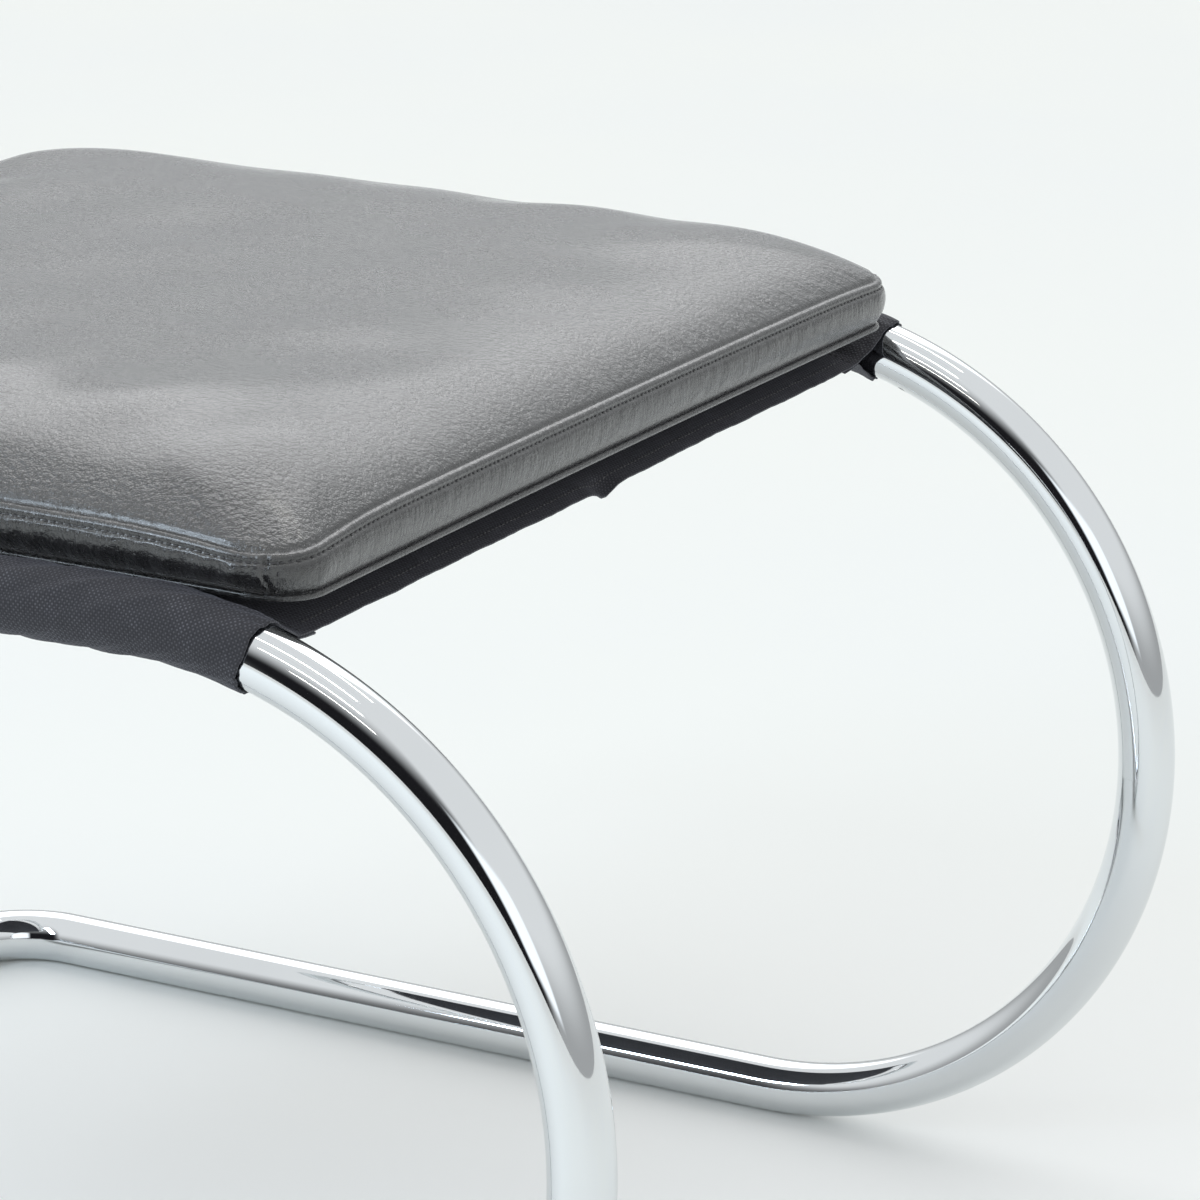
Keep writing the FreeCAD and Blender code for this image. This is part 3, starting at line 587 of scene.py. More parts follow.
def stitch_recipe():
    recipe = Recipe("stitch_row", [
        ("Pitch", "NodeSocketFloat"), ("Length", "NodeSocketFloat"), ("Width", "NodeSocketFloat"),
        ("Material", "NodeSocketMaterial")])
    line = recipe.node("GeometryNodeMeshToCurve", inputs={"Mesh": recipe.given("Geometry")})
    line = recipe.node("GeometryNodeResampleCurve", {"mode": "LENGTH"},
                       {"Curve": line, "Length": recipe.given("Pitch")})
    bead = recipe.node("GeometryNodeMeshUVSphere", inputs={"Segments": 8, "Rings": 5, "Radius": 0.5})
    stretch = recipe.node("ShaderNodeCombineXYZ", inputs={
        "X": recipe.given("Width"), "Y": recipe.given("Width"), "Z": recipe.given("Length")})
    bead = recipe.node("GeometryNodeTransform", inputs={"Geometry": bead, "Scale": stretch})
    bead = recipe.node("GeometryNodeSetShadeSmooth", inputs={"Geometry": bead})
    heading = recipe.node("GeometryNodeInputTangent")
    turn = recipe.node("FunctionNodeAlignRotationToVector", {"axis": "Z"}, {"Vector": heading})
    stitches = recipe.node("GeometryNodeInstanceOnPoints", inputs={
        "Points": line, "Instance": bead, "Rotation": turn})
    recipe.finish(stitches)
    return recipe


def cord_recipe():
    recipe = Recipe("round_sweep", [
        ("Radius", "NodeSocketFloat"), ("Sides", "NodeSocketInt"), ("Material", "NodeSocketMaterial")])
    line = recipe.node("GeometryNodeMeshToCurve", inputs={"Mesh": recipe.given("Geometry")})
    ring = recipe.node("GeometryNodeCurvePrimitiveCircle", inputs={
        "Resolution": recipe.given("Sides"), "Radius": recipe.given("Radius")})
    swept = recipe.node("GeometryNodeCurveToMesh", inputs={
        "Curve": line, "Profile Curve": ring, "Fill Caps": True})
    recipe.finish(recipe.node("GeometryNodeSetShadeSmooth", inputs={"Geometry": swept}))
    return recipe


def tube_recipe():
    """A hollow tube bent round its corner points, each with its own bend radius, open at its ends."""
    recipe = Recipe("bent_tube", [
        ("Outer radius", "NodeSocketFloat"), ("Wall", "NodeSocketFloat"), ("Sides", "NodeSocketInt"),
        ("Steps", "NodeSocketInt"), ("Material", "NodeSocketMaterial")])
    path = recipe.node("GeometryNodeMeshToCurve", inputs={"Mesh": recipe.given("Geometry")})
    bend = recipe.node("GeometryNodeInputNamedAttribute", {"data_type": "FLOAT"}, {"Name": "bend"})
    path = recipe.node("GeometryNodeFilletCurve", {"mode": "POLY"}, {
        "Curve": path, "Count": recipe.given("Steps"), "Radius": bend})
    bore = recipe.node("ShaderNodeMath", {"operation": "SUBTRACT"}, {
        0: recipe.given("Outer radius"), 1: recipe.given("Wall")})
    shells = []
    for radius in (recipe.given("Outer radius"), bore):
        ring = recipe.node("GeometryNodeCurvePrimitiveCircle", inputs={
            "Resolution": recipe.given("Sides"), "Radius": radius})
        shells.append(recipe.node("GeometryNodeCurveToMesh", inputs={
            "Curve": path, "Profile Curve": ring, "Fill Caps": False}))
    inner = recipe.node("GeometryNodeFlipFaces", inputs={"Mesh": shells[1]})
    join = recipe.tree.nodes.new("GeometryNodeJoinGeometry")
    for shell in (inner, shells[0]):
        recipe.tree.links.new(shell, join.inputs[0])
    recipe.finish(recipe.node("GeometryNodeSetShadeSmooth", inputs={"Geometry": join.outputs[0]}))
    return recipe


def close_ends(mesh):
    """Bridge the open rims of the outer and the inner wall at each end of a tube."""
    shell = bmesh.new()
    shell.from_mesh(mesh)
    rims = [edge for edge in shell.edges if edge.is_boundary]
    for end in (-1, 1):
        ring = [edge for edge in rims if edge.verts[0].co.x * end > 0]
        bmesh.ops.bridge_loops(shell, edges=ring)
    shell.to_mesh(mesh)
    shell.free()
    mesh.update()


def drill(piece, holes):
    """Cut round holes: each is a point, a direction, a radius and a depth."""
    shell = bmesh.new()
    for point, direction, radius, depth in holes:
        turn = Vector(direction).to_track_quat("Z", "Y").to_matrix().to_4x4()
        bmesh.ops.create_cone(
            shell, cap_ends=True, segments=32, radius1=radius, radius2=radius, depth=depth,
            matrix=Matrix.Translation(point) @ turn)
    cutter_mesh = bpy.data.meshes.new("drill")
    shell.to_mesh(cutter_mesh)
    shell.free()
    cutter = bpy.data.objects.new("drill", cutter_mesh)
    bpy.context.scene.collection.objects.link(cutter)
    modifier = piece.modifiers.new("holes", "BOOLEAN")
    modifier.operation = "DIFFERENCE"
    modifier.solver = "EXACT"
    modifier.object = cutter
    to_plain_mesh(piece)
    bpy.data.objects.remove(cutter)
    piece.data.polygons.foreach_set("use_smooth", [True] * len(piece.data.polygons))
    piece.data.set_sharp_from_angle(angle=math.radians(35))


def bent_tube(name, corners, holes, material):
    """A tube along its corner points. A corner is a point and its bend radius."""
    piece = polylines(name, [([point for point, _ in corners], False)])
    bend = piece.data.attributes.new("bend", "FLOAT", "POINT")
    bend.data.foreach_set("value", [radius for _, radius in corners])
    tube_recipe().make(
        piece, Outer_radius=TUBE_R, Wall=TUBE_WALL, Sides=72, Steps=72, Material=material)
    close_ends(piece.data)
    drill(piece, holes)
    return piece


class STOOL_OT_frame(bpy.types.Operator):
    """Make the two bent tubes, and finish the spigots and screws that join them"""
    bl_idname = "stool.frame"
    bl_label = "Chromed frame"

    def execute(self, context):
        chrome = chrome_finish()
        floor_z = TUBE_R
        front = ARC_Y - ARC_R
        side = [
            (JOINT_Y, RAIL_Z, 0.0), (front, RAIL_Z, ARC_R), (front, floor_z, ARC_R), (REAR_Y, floor_z, CORNER_R)]
        left = [((-RAIL_X, y, z), bend) for y, z, bend in side]
        right = [((RAIL_X, y, z), bend) for y, z, bend in reversed(side)]
        vents = []
        sine, cosine = math.sin(VENT_ANGLE), math.cos(VENT_ANGLE)
        for sign in (-1, 1):
            # the vents look down and in, away from the sitter
            out = Vector((-sign * math.cos(VENT_TILT), sine * math.sin(VENT_TILT), -cosine * math.sin(VENT_TILT)))
            axis = Vector((sign * RAIL_X, ARC_Y - ARC_R * sine, ARC_Z + ARC_R * cosine))
            vents.append((axis + out * TUBE_R, out, VENT_R, HOLE_DEPTH))
        screws = [
            ((sign * RAIL_X, JOINT_Y + step * SCREW_STEP, RAIL_Z - TUBE_R), (0, 0, 1), SCREW_HOLE_R, HOLE_DEPTH)
            for sign in (-1, 1) for step in (-1, 1)]
        base = bent_tube("base_tube", left + right, vents + screws[::2], chrome)
        finished(base, "frame", "chromed_tube", "base_frame_tube")
        half_path = [(JOINT_Y, 0.0), (REAR_Y, CORNER_R)]
        seat_path = [((-RAIL_X, y, RAIL_Z), bend) for y, bend in half_path]
        seat_path += [((RAIL_X, y, RAIL_Z), bend) for y, bend in reversed(half_path)]
        seat = bent_tube("seat_tube", seat_path, screws[1::2], chrome)
        finished(seat, "frame", "chromed_tube", "seat_frame_tube")
        dress(bright_steel_finish(), "left_joint_spigot", "right_joint_spigot")
        dress(black_steel_finish(), "spigot_screws")
        return {"FINISHED"}


def waves(x, y, seed, count, longest, shortest):
    """A smooth random relief, from -1 to 1, made of sine waves in fixed random directions."""
    draw = np.random.RandomState(seed)
    total = np.zeros(np.broadcast(x, y).shape)
    for _ in range(count):
        heading = draw.uniform(0, 2 * math.pi)
        length = draw.uniform(shortest, longest)
        phase = draw.uniform(0, 2 * math.pi)
        total += np.sin((x * math.cos(heading) + y * math.sin(heading)) * (2 * math.pi / length) + phase)
    return total / math.sqrt(count)


def eased(values, start, end):
    share = np.clip((values - start) / (end - start), 0, 1)
    return share * share * (3 - 2 * share)


def sling_section():
    """The cloth's line across the stool, from one sewn edge to the other, and how far along it each point is."""
    radius = TUBE_R + CLOTH_GAP + CLOTH / 2
    lift = math.acos(radius / TUNNEL_SEAM)
    seam_x = RAIL_X - TUNNEL_SEAM
    points = [(seam_x - 13 * MM, -1.15 * MM), (seam_x - 6 * MM, -1.15 * MM)]
    turns = np.linspace(math.pi + lift, 3 * math.pi - lift, 40)
    lower = [(RAIL_X + radius * math.cos(t), radius * math.sin(t)) for t in turns]
    seam = (seam_x, 0.0)
    points += [(seam[0] + (lower[0][0] - seam[0]) * s, -0.7 * MM + (lower[0][1] + 0.7 * MM) * s)
               for s in np.linspace(0, 1, 9)[:-1]]
    points += lower
    points += [(lower[-1][0] + (seam[0] - lower[-1][0]) * s, lower[-1][1] * (1 - s) + 0.5 * MM * s)
               for s in np.linspace(0, 1, 9)[1:]]
    side = np.array(points)
    web = np.stack([np.linspace(seam_x, -seam_x, 110)[1:-1], np.zeros(108)], axis=1)
    other = side[::-1] * (-1, 1)
    line = np.concatenate([side, web, other])
    steps = np.hypot(*np.diff(line, axis=0).T)
    return line, np.concatenate([[0], np.cumsum(steps)])


class STOOL_OT_sling(bpy.types.Operator):
    """Make the cloth sling with its two sewn tunnels, its hems and their stitches"""
    bl_idname = "stool.sling"
    bl_label = "Cloth sling"

    def execute(self, context):
        line, across = sling_section()
        straight = REAR_Y - CORNER_R - 1.5 * MM - ARC_Y
        curve = MOUTH_ANGLE * ARC_R
        # rows are close together near the front hem, and then spread out along the rails
        rows = np.concatenate([
            np.linspace(0, 9 * MM, 13)[:-1], np.linspace(9 * MM, curve + 20 * MM, 34)[:-1],
            np.linspace(curve + 20 * MM, curve + straight, 96)])
        s, r = np.meshgrid(across, rows)
        x = np.broadcast_to(line[:, 0], s.shape).copy()
        h = np.broadcast_to(line[:, 1], s.shape).copy()
        from_rail = RAIL_X - np.abs(x)
        web = eased(from_rail, TUNNEL_SEAM, TUNNEL_SEAM + 12 * MM)
        tube = 1 - eased(from_rail, TUNNEL_SEAM - 10 * MM, TUNNEL_SEAM)
        turn = np.arctan2(h, np.sign(x) * x - RAIL_X)
        mouth = 1 - eased(r, 0.0, 14 * MM)
        # outward wrinkles of the tunnels: slanted ridges, with gathers at the mouths
        slant = r + 0.034 * turn
        ridges = waves(slant, s * 0.35, 3, 7, 34 * MM, 13 * MM)
        gathers = np.sin(turn * 17 + waves(s, r, 5, 4, 60 * MM, 30 * MM) * 1.6)
        outward = tube * (0.40 * MM + 0.45 * MM * ridges + mouth * (0.12 * MM + 0.26 * MM * gathers))
        outward = np.clip(outward, 0, 1.5 * MM)
        distance = np.hypot(np.abs(x) - RAIL_X, h)
        scale = 1 + outward / np.maximum(distance, 8 * MM)
        x = np.sign(x) * (RAIL_X + (np.abs(x) - RAIL_X) * scale)
        h = h * scale
        # the web is drawn tight between the rails, with faint tension lines and a ribbed front edge
        front = 1 - eased(r, 0, 45 * MM)
        h += web * (0.22 * MM * waves(s * 0.3, r, 8, 6, 90 * MM, 25 * MM))
        ribs = np.sin(s / (1.1 * MM) + waves(s, r, 11, 3, 50 * MM, 20 * MM) * 2)
        h += web * front * (0.12 * MM * ribs - 0.2 * MM)
        hem = 1 - eased(r, 7.0 * MM, 8.2 * MM)
        h += hem * web * -0.35 * MM
        # the hem's thick place in the middle, where its ends overlap
        lump = np.exp(-(x / (9 * MM)) ** 2 - ((x - 4 * MM) / (13 * MM)) ** 4)
        h += -4.2 * MM * lump * (1 - eased(r, 0, 12 * MM))
        scallop = 0.9 * MM * tube * (0.5 + 0.5 * np.sin(turn * 5))
        scallop = scallop + 0.2 * MM * waves(s, r * 0, 13, 6, 40 * MM, 9 * MM) * web
        reach = r - scallop * mouth
        # the rows follow the rails back, and the half circles round at the front
        ahead = np.clip(curve - reach, 0, None)
        angle = ahead / ARC_R
        radius = ARC_R + h
        y = np.where(reach < curve, ARC_Y - radius * np.sin(angle), ARC_Y + (reach - curve))
        z = np.where(reach < curve, ARC_Z + radius * np.cos(angle), RAIL_Z + h)
        count = len(across)
        grid = np.arange(len(rows) * count).reshape(len(rows), count)
        faces = np.stack([grid[:-1, :-1], grid[:-1, 1:], grid[1:, 1:], grid[1:, :-1]], -1).reshape(-1, 4)
        piece = new_piece("sling_cloth", np.stack([x, y, z], -1).reshape(-1, 3), faces.tolist(), sling_finish())
        corners = rows_of(piece.data.loops, "vertex_index", 1, int)
        lay_uv(piece.data, "weave", s.ravel()[corners], r.ravel()[corners])
        solid = piece.modifiers.new("cloth", "SOLIDIFY")
        solid.thickness = 0.8 * MM
        solid.offset = 0.0
        solid.use_even_offset = False
        to_plain_mesh(piece)
        finished(piece, "frame", "sling_cloth", "sling")
        places = np.stack([x, y, z], -1)
        lines = []
        hem_row = int(np.argmin(np.abs(rows - 6.2 * MM)))
        raised = places.copy()
        raised[..., 2] += 0.55 * MM
        tunnel_end = int(np.argmax(across > across[-1] / 2 - (RAIL_X - TUNNEL_SEAM)))
        lines.append((raised[hem_row, tunnel_end + 2:count - tunnel_end - 2], False))
        for sign in (-1, 1):
            off_seam = np.abs(line[:, 0] - sign * (RAIL_X - TUNNEL_SEAM - 6 * MM))
            column = int(np.argmin(off_seam + (np.abs(line[:, 1]) > 0.1 * MM)))
            lines.append((raised[4:, column], False))
        stitches = polylines("sling_stitches", lines)
        stitch_recipe().make(stitches, Pitch=3.0 * MM, Length=2.2 * MM, Width=0.5 * MM, Material=thread_finish())
        finished(stitches, "frame", "sling_cloth")
        return {"FINISHED"}


def rounded_ring(side, share, half_x, half_y, corner):
    """A point of a rounded rectangle, its outward direction, and how far along its side it is.

    The sides are 0 front, 1 right, 2 rear and 3 left, each followed anticlockwise with share from -1 to 1.
    """
    odd = side % 2 == 1
    along_half = np.where(odd, half_y, half_x)
    across_half = np.where(odd, half_x, half_y)
    straight = along_half - corner
    reach = share * (straight + corner * math.pi / 4)
    turn = np.maximum(np.abs(reach) - straight, 0) / np.maximum(corner, 1e-6)
    sign = np.sign(reach)
    along = sign * (np.minimum(np.abs(reach), straight) + corner * np.sin(turn))
    out = across_half - corner * (1 - np.cos(turn))
    along_x, along_y = np.array([1, 0, -1, 0])[side], np.array([0, 1, 0, -1])[side]
    out_x, out_y = along_y, -along_x
    x = along * along_x + out * out_x
    y = along * along_y + out * out_y
    normal_x = sign * np.sin(turn) * along_x + np.cos(turn) * out_x
    normal_y = sign * np.sin(turn) * along_y + np.cos(turn) * out_y
    return x, y, normal_x, normal_y, reach


def inside_by(x, y, half_x, half_y):
    """How far a point lies inside the seam, by outlines whose corners grow rounder towards the middle."""
    low, high = np.zeros(x.shape), np.full(x.shape, min(half_x, half_y) * 0.97)
    for _ in range(26):
        middle = (low + high) / 2
        corner = SEAM_CORNER + (CROWN_CORNER - SEAM_CORNER) * np.clip(middle / CROWN_REACH, 0, 1)
        corner = np.minimum(corner, min(half_x, half_y) - middle)
        dx = np.abs(x) - (half_x - middle - corner)
        dy = np.abs(y) - (half_y - middle - corner)
        gap = np.hypot(np.maximum(dx, 0), np.maximum(dy, 0)) + np.minimum(np.maximum(dx, dy), 0) - corner
        outside = gap > 0
        high = np.where(outside, middle, high)
        low = np.where(outside, low, middle)
    return (low + high) / 2


def rise(inset):
    return 1 - (1 - np.clip(inset, 0, CROWN_REACH) / (2 * CROWN_REACH)) ** CROWN_POWER


def spread(count):
    """Places of the grid's lines from -1 to 1, close together near the corners."""
    steps = np.linspace(-1, 1, count + 1)
    middle = (steps[1:] + steps[:-1]) / 2
    width = 1 - 0.68 * np.exp(-((1 - np.abs(middle)) / 0.16) ** 2)
    lines = np.concatenate([[0], np.cumsum(width)])
    return lines / lines[-1] * 2 - 1


# the band's rows as distances below the top seam: close together at the seams, the stitches and the zip's slot
BAND_ROWS = np.array([
    0, 0.35, 0.8, 1.5, 2.4, 3.2, 3.7, 4.1, 4.6, 5.5, 5.8, 7.2, 9.0, 10.75, 12.5, 14.3, 15.7, 16.0,
    17.6, 19.2, 20.4, 21.1, 21.5]) * MM
COARSE_ROWS = np.array([0, 4.3, 8.6, 12.9, 17.2, 21.5]) * MM
SLOT_HALF_X = 202.8 * MM
SLOT_TOP = 5.65 * MM
SLOT_BOTTOM = 15.85 * MM


class Cover:
    """The cushion's closed surface: a top panel, a band and a bottom panel on one net of lines."""

    def __init__(self, count_x, count_y, rows, gap=0.0, step=4):
        self.nx, self.ny, self.gap = count_x, count_y, gap
        self.gx, self.gy = spread(count_x), spread(count_y)
        self.rows = rows
        self.half_x, self.half_y = HALF_X - gap, HALF_Y - gap
        self.corner = SEAM_CORNER - min(gap, 10 * MM)
        self.top()
        self.band()
        self.bottom(step)

    def panel(self, gx, gy, half_x, half_y):
        a, b = np.meshgrid(gx, gy, indexing="ij")
        ring = np.maximum(np.abs(a), np.abs(b))
        safe = np.maximum(ring, 1e-9)
        on_side = np.abs(a) >= np.abs(b)
        side = np.where(on_side, np.where(a > 0, 1, 3), np.where(b > 0, 2, 0))
        share = np.select([side == 0, side == 1, side == 2, side == 3], [a, b, -a, -b]) / safe
        small = min(half_x, half_y)
        corner = np.minimum(self.corner + (1 - ring) * 0.32 * small, 0.72 * ring * small)
        x, y, *_ = rounded_ring(side, share, ring * half_x, ring * half_y, np.maximum(corner, 1e-7))
        return x, y, side, share

    def along_seam(self, side, share):
        """Distance round the top seam, from the front left corner."""
        x_run = self.half_x - self.corner + self.corner * math.pi / 4
        y_run = self.half_y - self.corner + self.corner * math.pi / 4
        run = np.where(side % 2 == 0, x_run, y_run)
        start = np.array([0, 2 * x_run, 2 * (x_run + y_run), 4 * x_run + 2 * y_run])[side]
        self.round_length = 4 * (x_run + y_run)
        return start + (share + 1) * run

    def top(self):
        x, y, side, share = self.panel(self.gx, self.gy, self.half_x, self.half_y)
        self.inset = inside_by(x, y, self.half_x, self.half_y)
        self.inset[[0, -1], :] = 0
        self.inset[:, [0, -1]] = 0
        height = CROWN_Z - self.gap - TOP_SEAM_Z
        z = TOP_SEAM_Z + height * rise(self.inset)
        self.top_places = np.stack([x, y, z], -1)
        self.top_along = self.along_seam(side, share)

    def rim(self):
        """The boundary of a panel's grid, anticlockwise from the front left corner."""
        nx, ny = self.nx, self.ny
        front = [(i, 0) for i in range(nx)]
        right = [(nx, j) for j in range(ny)]
        rear = [(nx - i, ny) for i in range(nx)]
        left = [(0, ny - j) for j in range(ny)]
        return front + right + rear + left

    def band(self):
        nx, ny = self.nx, self.ny
        side = np.repeat([0, 1, 2, 3], [nx, ny, nx, ny])
        share = np.concatenate([self.gx[:-1], self.gy[:-1], -self.gx[:0:-1], -self.gy[:0:-1]])
        height = TOP_SEAM_Z - BOTTOM_SEAM_Z
        places = []
        for drop in self.rows:
            # the band bulges out between its seams; t runs from 0 at the bottom seam to 1 at the top one
            t = 1 - drop / height
            side_inset = (7 - 35 * t + 28 * t * t) * MM
            front_inset = (14 * t * t - 14 * t) * MM
            rear_inset = (0.6 - 3.0 * t + 2.4 * t * t) * MM
            x, y, nx_, ny_, _ = rounded_ring(side, share, self.half_x, self.half_y, self.corner)
            end_inset = np.where(ny_ < 0, front_inset, rear_inset)
            inset = side_inset * nx_ ** 2 + end_inset * ny_ ** 2
            z = TOP_SEAM_Z - drop
            if self.gap:
                z = TOP_SEAM_Z - self.gap - drop * (1 - 2 * self.gap / height)
            places.append(np.stack([x - nx_ * inset, y - ny_ * inset, np.full(x.shape, z)], -1))
        self.band_places = np.array(places)
        self.band_normals = (nx_, ny_)
        self.band_along = self.along_seam(side, share)
        if self.gap:
            for row, (i, j) in enumerate(self.rim()):
                self.top_places[i, j] = self.band_places[0, row]

    def bottom(self, step):
        inset = SIDE_DRAW
        gx, gy = self.gx[::step], self.gy[::step]
        x, y, _, _ = self.panel(gx, gy, self.half_x - inset, self.half_y - 0.3 * MM)
        depth = BOTTOM_SEAM_Z - BELLY_Z
        rest = inside_by(x, y, self.half_x - inset, self.half_y)
        z = BOTTOM_SEAM_Z + self.gap - depth * rise(rest)
        self.bottom_places = np.stack([x, y, z], -1)
        self.step = step

    def mesh_data(self):
        """Vertices, faces and, for each vertex, its distance along the top seam and away from it."""
        nx, ny, step = self.nx, self.ny, self.step
        top = np.arange((nx + 1) * (ny + 1)).reshape(nx + 1, ny + 1)
        vertices = [self.top_places.reshape(-1, 3)]
        along, across = [self.top_along.ravel()], [self.inset.ravel()]
        faces = np.stack([top[:-1, :-1], top[1:, :-1], top[1:, 1:], top[:-1, 1:]], -1).reshape(-1, 4).tolist()
        rim = np.array([top[i, j] for i, j in self.rim()])
        count = len(rim)
        rings = [rim]
        start = top.size
        for row in range(1, len(self.rows)):
            rings.append(start + np.arange(count))
            start += count
        vertices.append(self.band_places[1:].reshape(-1, 3))
        along.append(np.tile(self.band_along, len(self.rows) - 1))
        across.append(-np.repeat(self.rows[1:], count))
        for upper, lower in zip(rings[:-1], rings[1:]):
            faces += np.stack([upper, lower, np.roll(lower, -1), np.roll(upper, -1)], -1).tolist()
        mx, my = nx // step, ny // step
        bottom = np.full((mx + 1, my + 1), -1)
        ring_of = {}
        for place, (i, j) in enumerate(self.rim()):
            if i % step == 0 and j % step == 0 and (i in (0, nx) or j in (0, ny)):
                bottom[i // step, j // step] = rings[-1][place]
                ring_of[(i // step, j // step)] = place
        inner = [(i, j) for i in range(1, mx) for j in range(1, my)]
        for i, j in inner:
            bottom[i, j] = start
            start += 1
        vertices.append(np.array([self.bottom_places[i, j] for i, j in inner]))
        along.append(np.zeros(len(inner)))
        across.append(np.full(len(inner), -60 * MM))
        for i in range(mx):
            for j in range(my):
                loop = [(i, j), (i, j + 1), (i + 1, j + 1), (i + 1, j)]
                face = []
                for here, following in zip(loop, loop[1:] + loop[:1]):
                    face.append(int(bottom[here]))
                    if here in ring_of and following in ring_of:
                        a, b = ring_of[here], ring_of[following]
                        if (a - b) % count == step:
                            face += [int(rings[-1][(a - k) % count]) for k in range(1, step)]
                        elif (b - a) % count == step:
                            face += [int(rings[-1][(a + k) % count]) for k in range(1, step)]
                faces.append(face)
        self.rings = rings
        self.top_grid = top
        return np.concatenate(vertices), faces, np.concatenate(along), np.concatenate(across)


def settle(places):
    """Draw the sides in between the corners, let the seam sink at its corners, and move to the stool's frame."""
    x, y, z = places[:, 0].copy(), places[:, 1].copy(), places[:, 2].copy()
    draw = 2.3 * MM
    across, along = np.clip(x / HALF_X, -1, 1), np.clip(y / HALF_Y, -1, 1)
    x -= draw * across * (1 - along ** 2)
    y += draw * (1 - across ** 2) * ((1 - along) / 2) ** 2
    height = np.clip((z - BOTTOM_SEAM_Z) / (TOP_SEAM_Z - BOTTOM_SEAM_Z), 0, 1)
    for corner_x, corner_y, amount in (
            (-HALF_X, -HALF_Y, 1.0), (HALF_X, -HALF_Y, 0.35), (-HALF_X, HALF_Y, 0.5), (HALF_X, HALF_Y, 0.4)):
        near = np.exp(-((x - corner_x) ** 2 + (y - corner_y) ** 2) / (42 * MM) ** 2)
        z -= sizes().corner_droop * amount * near * height
    return np.stack([x, y + MID_Y, z], -1)


def cubic_weights(places, count):
    """Catmull-Rom weights that read a row of count + 1 evenly spaced values at any place from 0 to 1."""
    spot = np.clip(places * count, 0, count - 1e-9)
    cell = np.floor(spot).astype(int)
    t = spot - cell
    weights = np.zeros((len(places), count + 1))
    shares = (
        -0.5 * t + t ** 2 - 0.5 * t ** 3, 1 - 2.5 * t ** 2 + 1.5 * t ** 3,
        0.5 * t + 2 * t ** 2 - 1.5 * t ** 3, -0.5 * t ** 2 + 0.5 * t ** 3)
    rows = np.arange(len(places))
    for offset, share in zip((-1, 0, 1, 2), shares):
        np.add.at(weights, (rows, np.clip(cell + offset, 0, count)), share)
    return weights


def blurred(field, passes):
    for _ in range(passes):
        padded = np.pad(field, 1, mode="edge")
        field = (padded[:-2, 1:-1] + padded[2:, 1:-1] + padded[1:-1, :-2] + padded[1:-1, 2:] + 2 * field) / 6
    return field


def cloth_relief():
    """Inflate a coarse cover as cloth, its seams held, and read how far the top panel moves."""
    coarse = Cover(*CLOTH_CELLS, COARSE_ROWS)
    places, faces, _, across = coarse.mesh_data()
    piece = new_piece("cover_in_simulation", settle(places), faces, None)
    face_out(piece.data)
    held = piece.vertex_groups.new(name="held")
    fixed = np.nonzero((np.abs(across) < 0.1 * MM) | (across < -21 * MM))[0]
    held.add(fixed.tolist(), 1.0, "REPLACE")
    cloth = piece.modifiers.new("leather", "CLOTH")
    settings = cloth.settings
    settings.quality = 6
    settings.mass = 0.4
    settings.tension_stiffness = settings.compression_stiffness = 22
    settings.shear_stiffness = 12
    settings.bending_stiffness = 12.0
    settings.tension_damping = settings.compression_damping = 12
    settings.use_pressure = True
    settings.uniform_pressure_force = 4.0
    settings.shrink_min = -0.003
    settings.vertex_group_mass = "held"
    settings.effector_weights.gravity = 0.0
    cloth.collision_settings.use_collision = False
    cloth.point_cache.frame_start, cloth.point_cache.frame_end = 1, CLOTH_FRAMES
    scene = bpy.context.scene
    before = positions(piece.data)
    outward = directions(piece.data)
    for number in range(1, CLOTH_FRAMES + 1):
        scene.frame_set(number)
    after = positions(piece.evaluated_get(bpy.context.evaluated_depsgraph_get()).data)
    scene.frame_set(1)
    moved = ((after - before) * outward).sum(1)[coarse.top_grid]
    bpy.data.objects.remove(piece)
    # only the folds are wanted, not the swelling under them, and they calm down towards the seam
    relief = moved - blurred(moved, BLUR_PASSES)
    folds = blurred(FOLD_CAP * np.tanh(relief / FOLD_CAP), SMOOTH_PASSES)
    return coarse, eased(coarse.inset, 12 * MM, 55 * MM) * folds


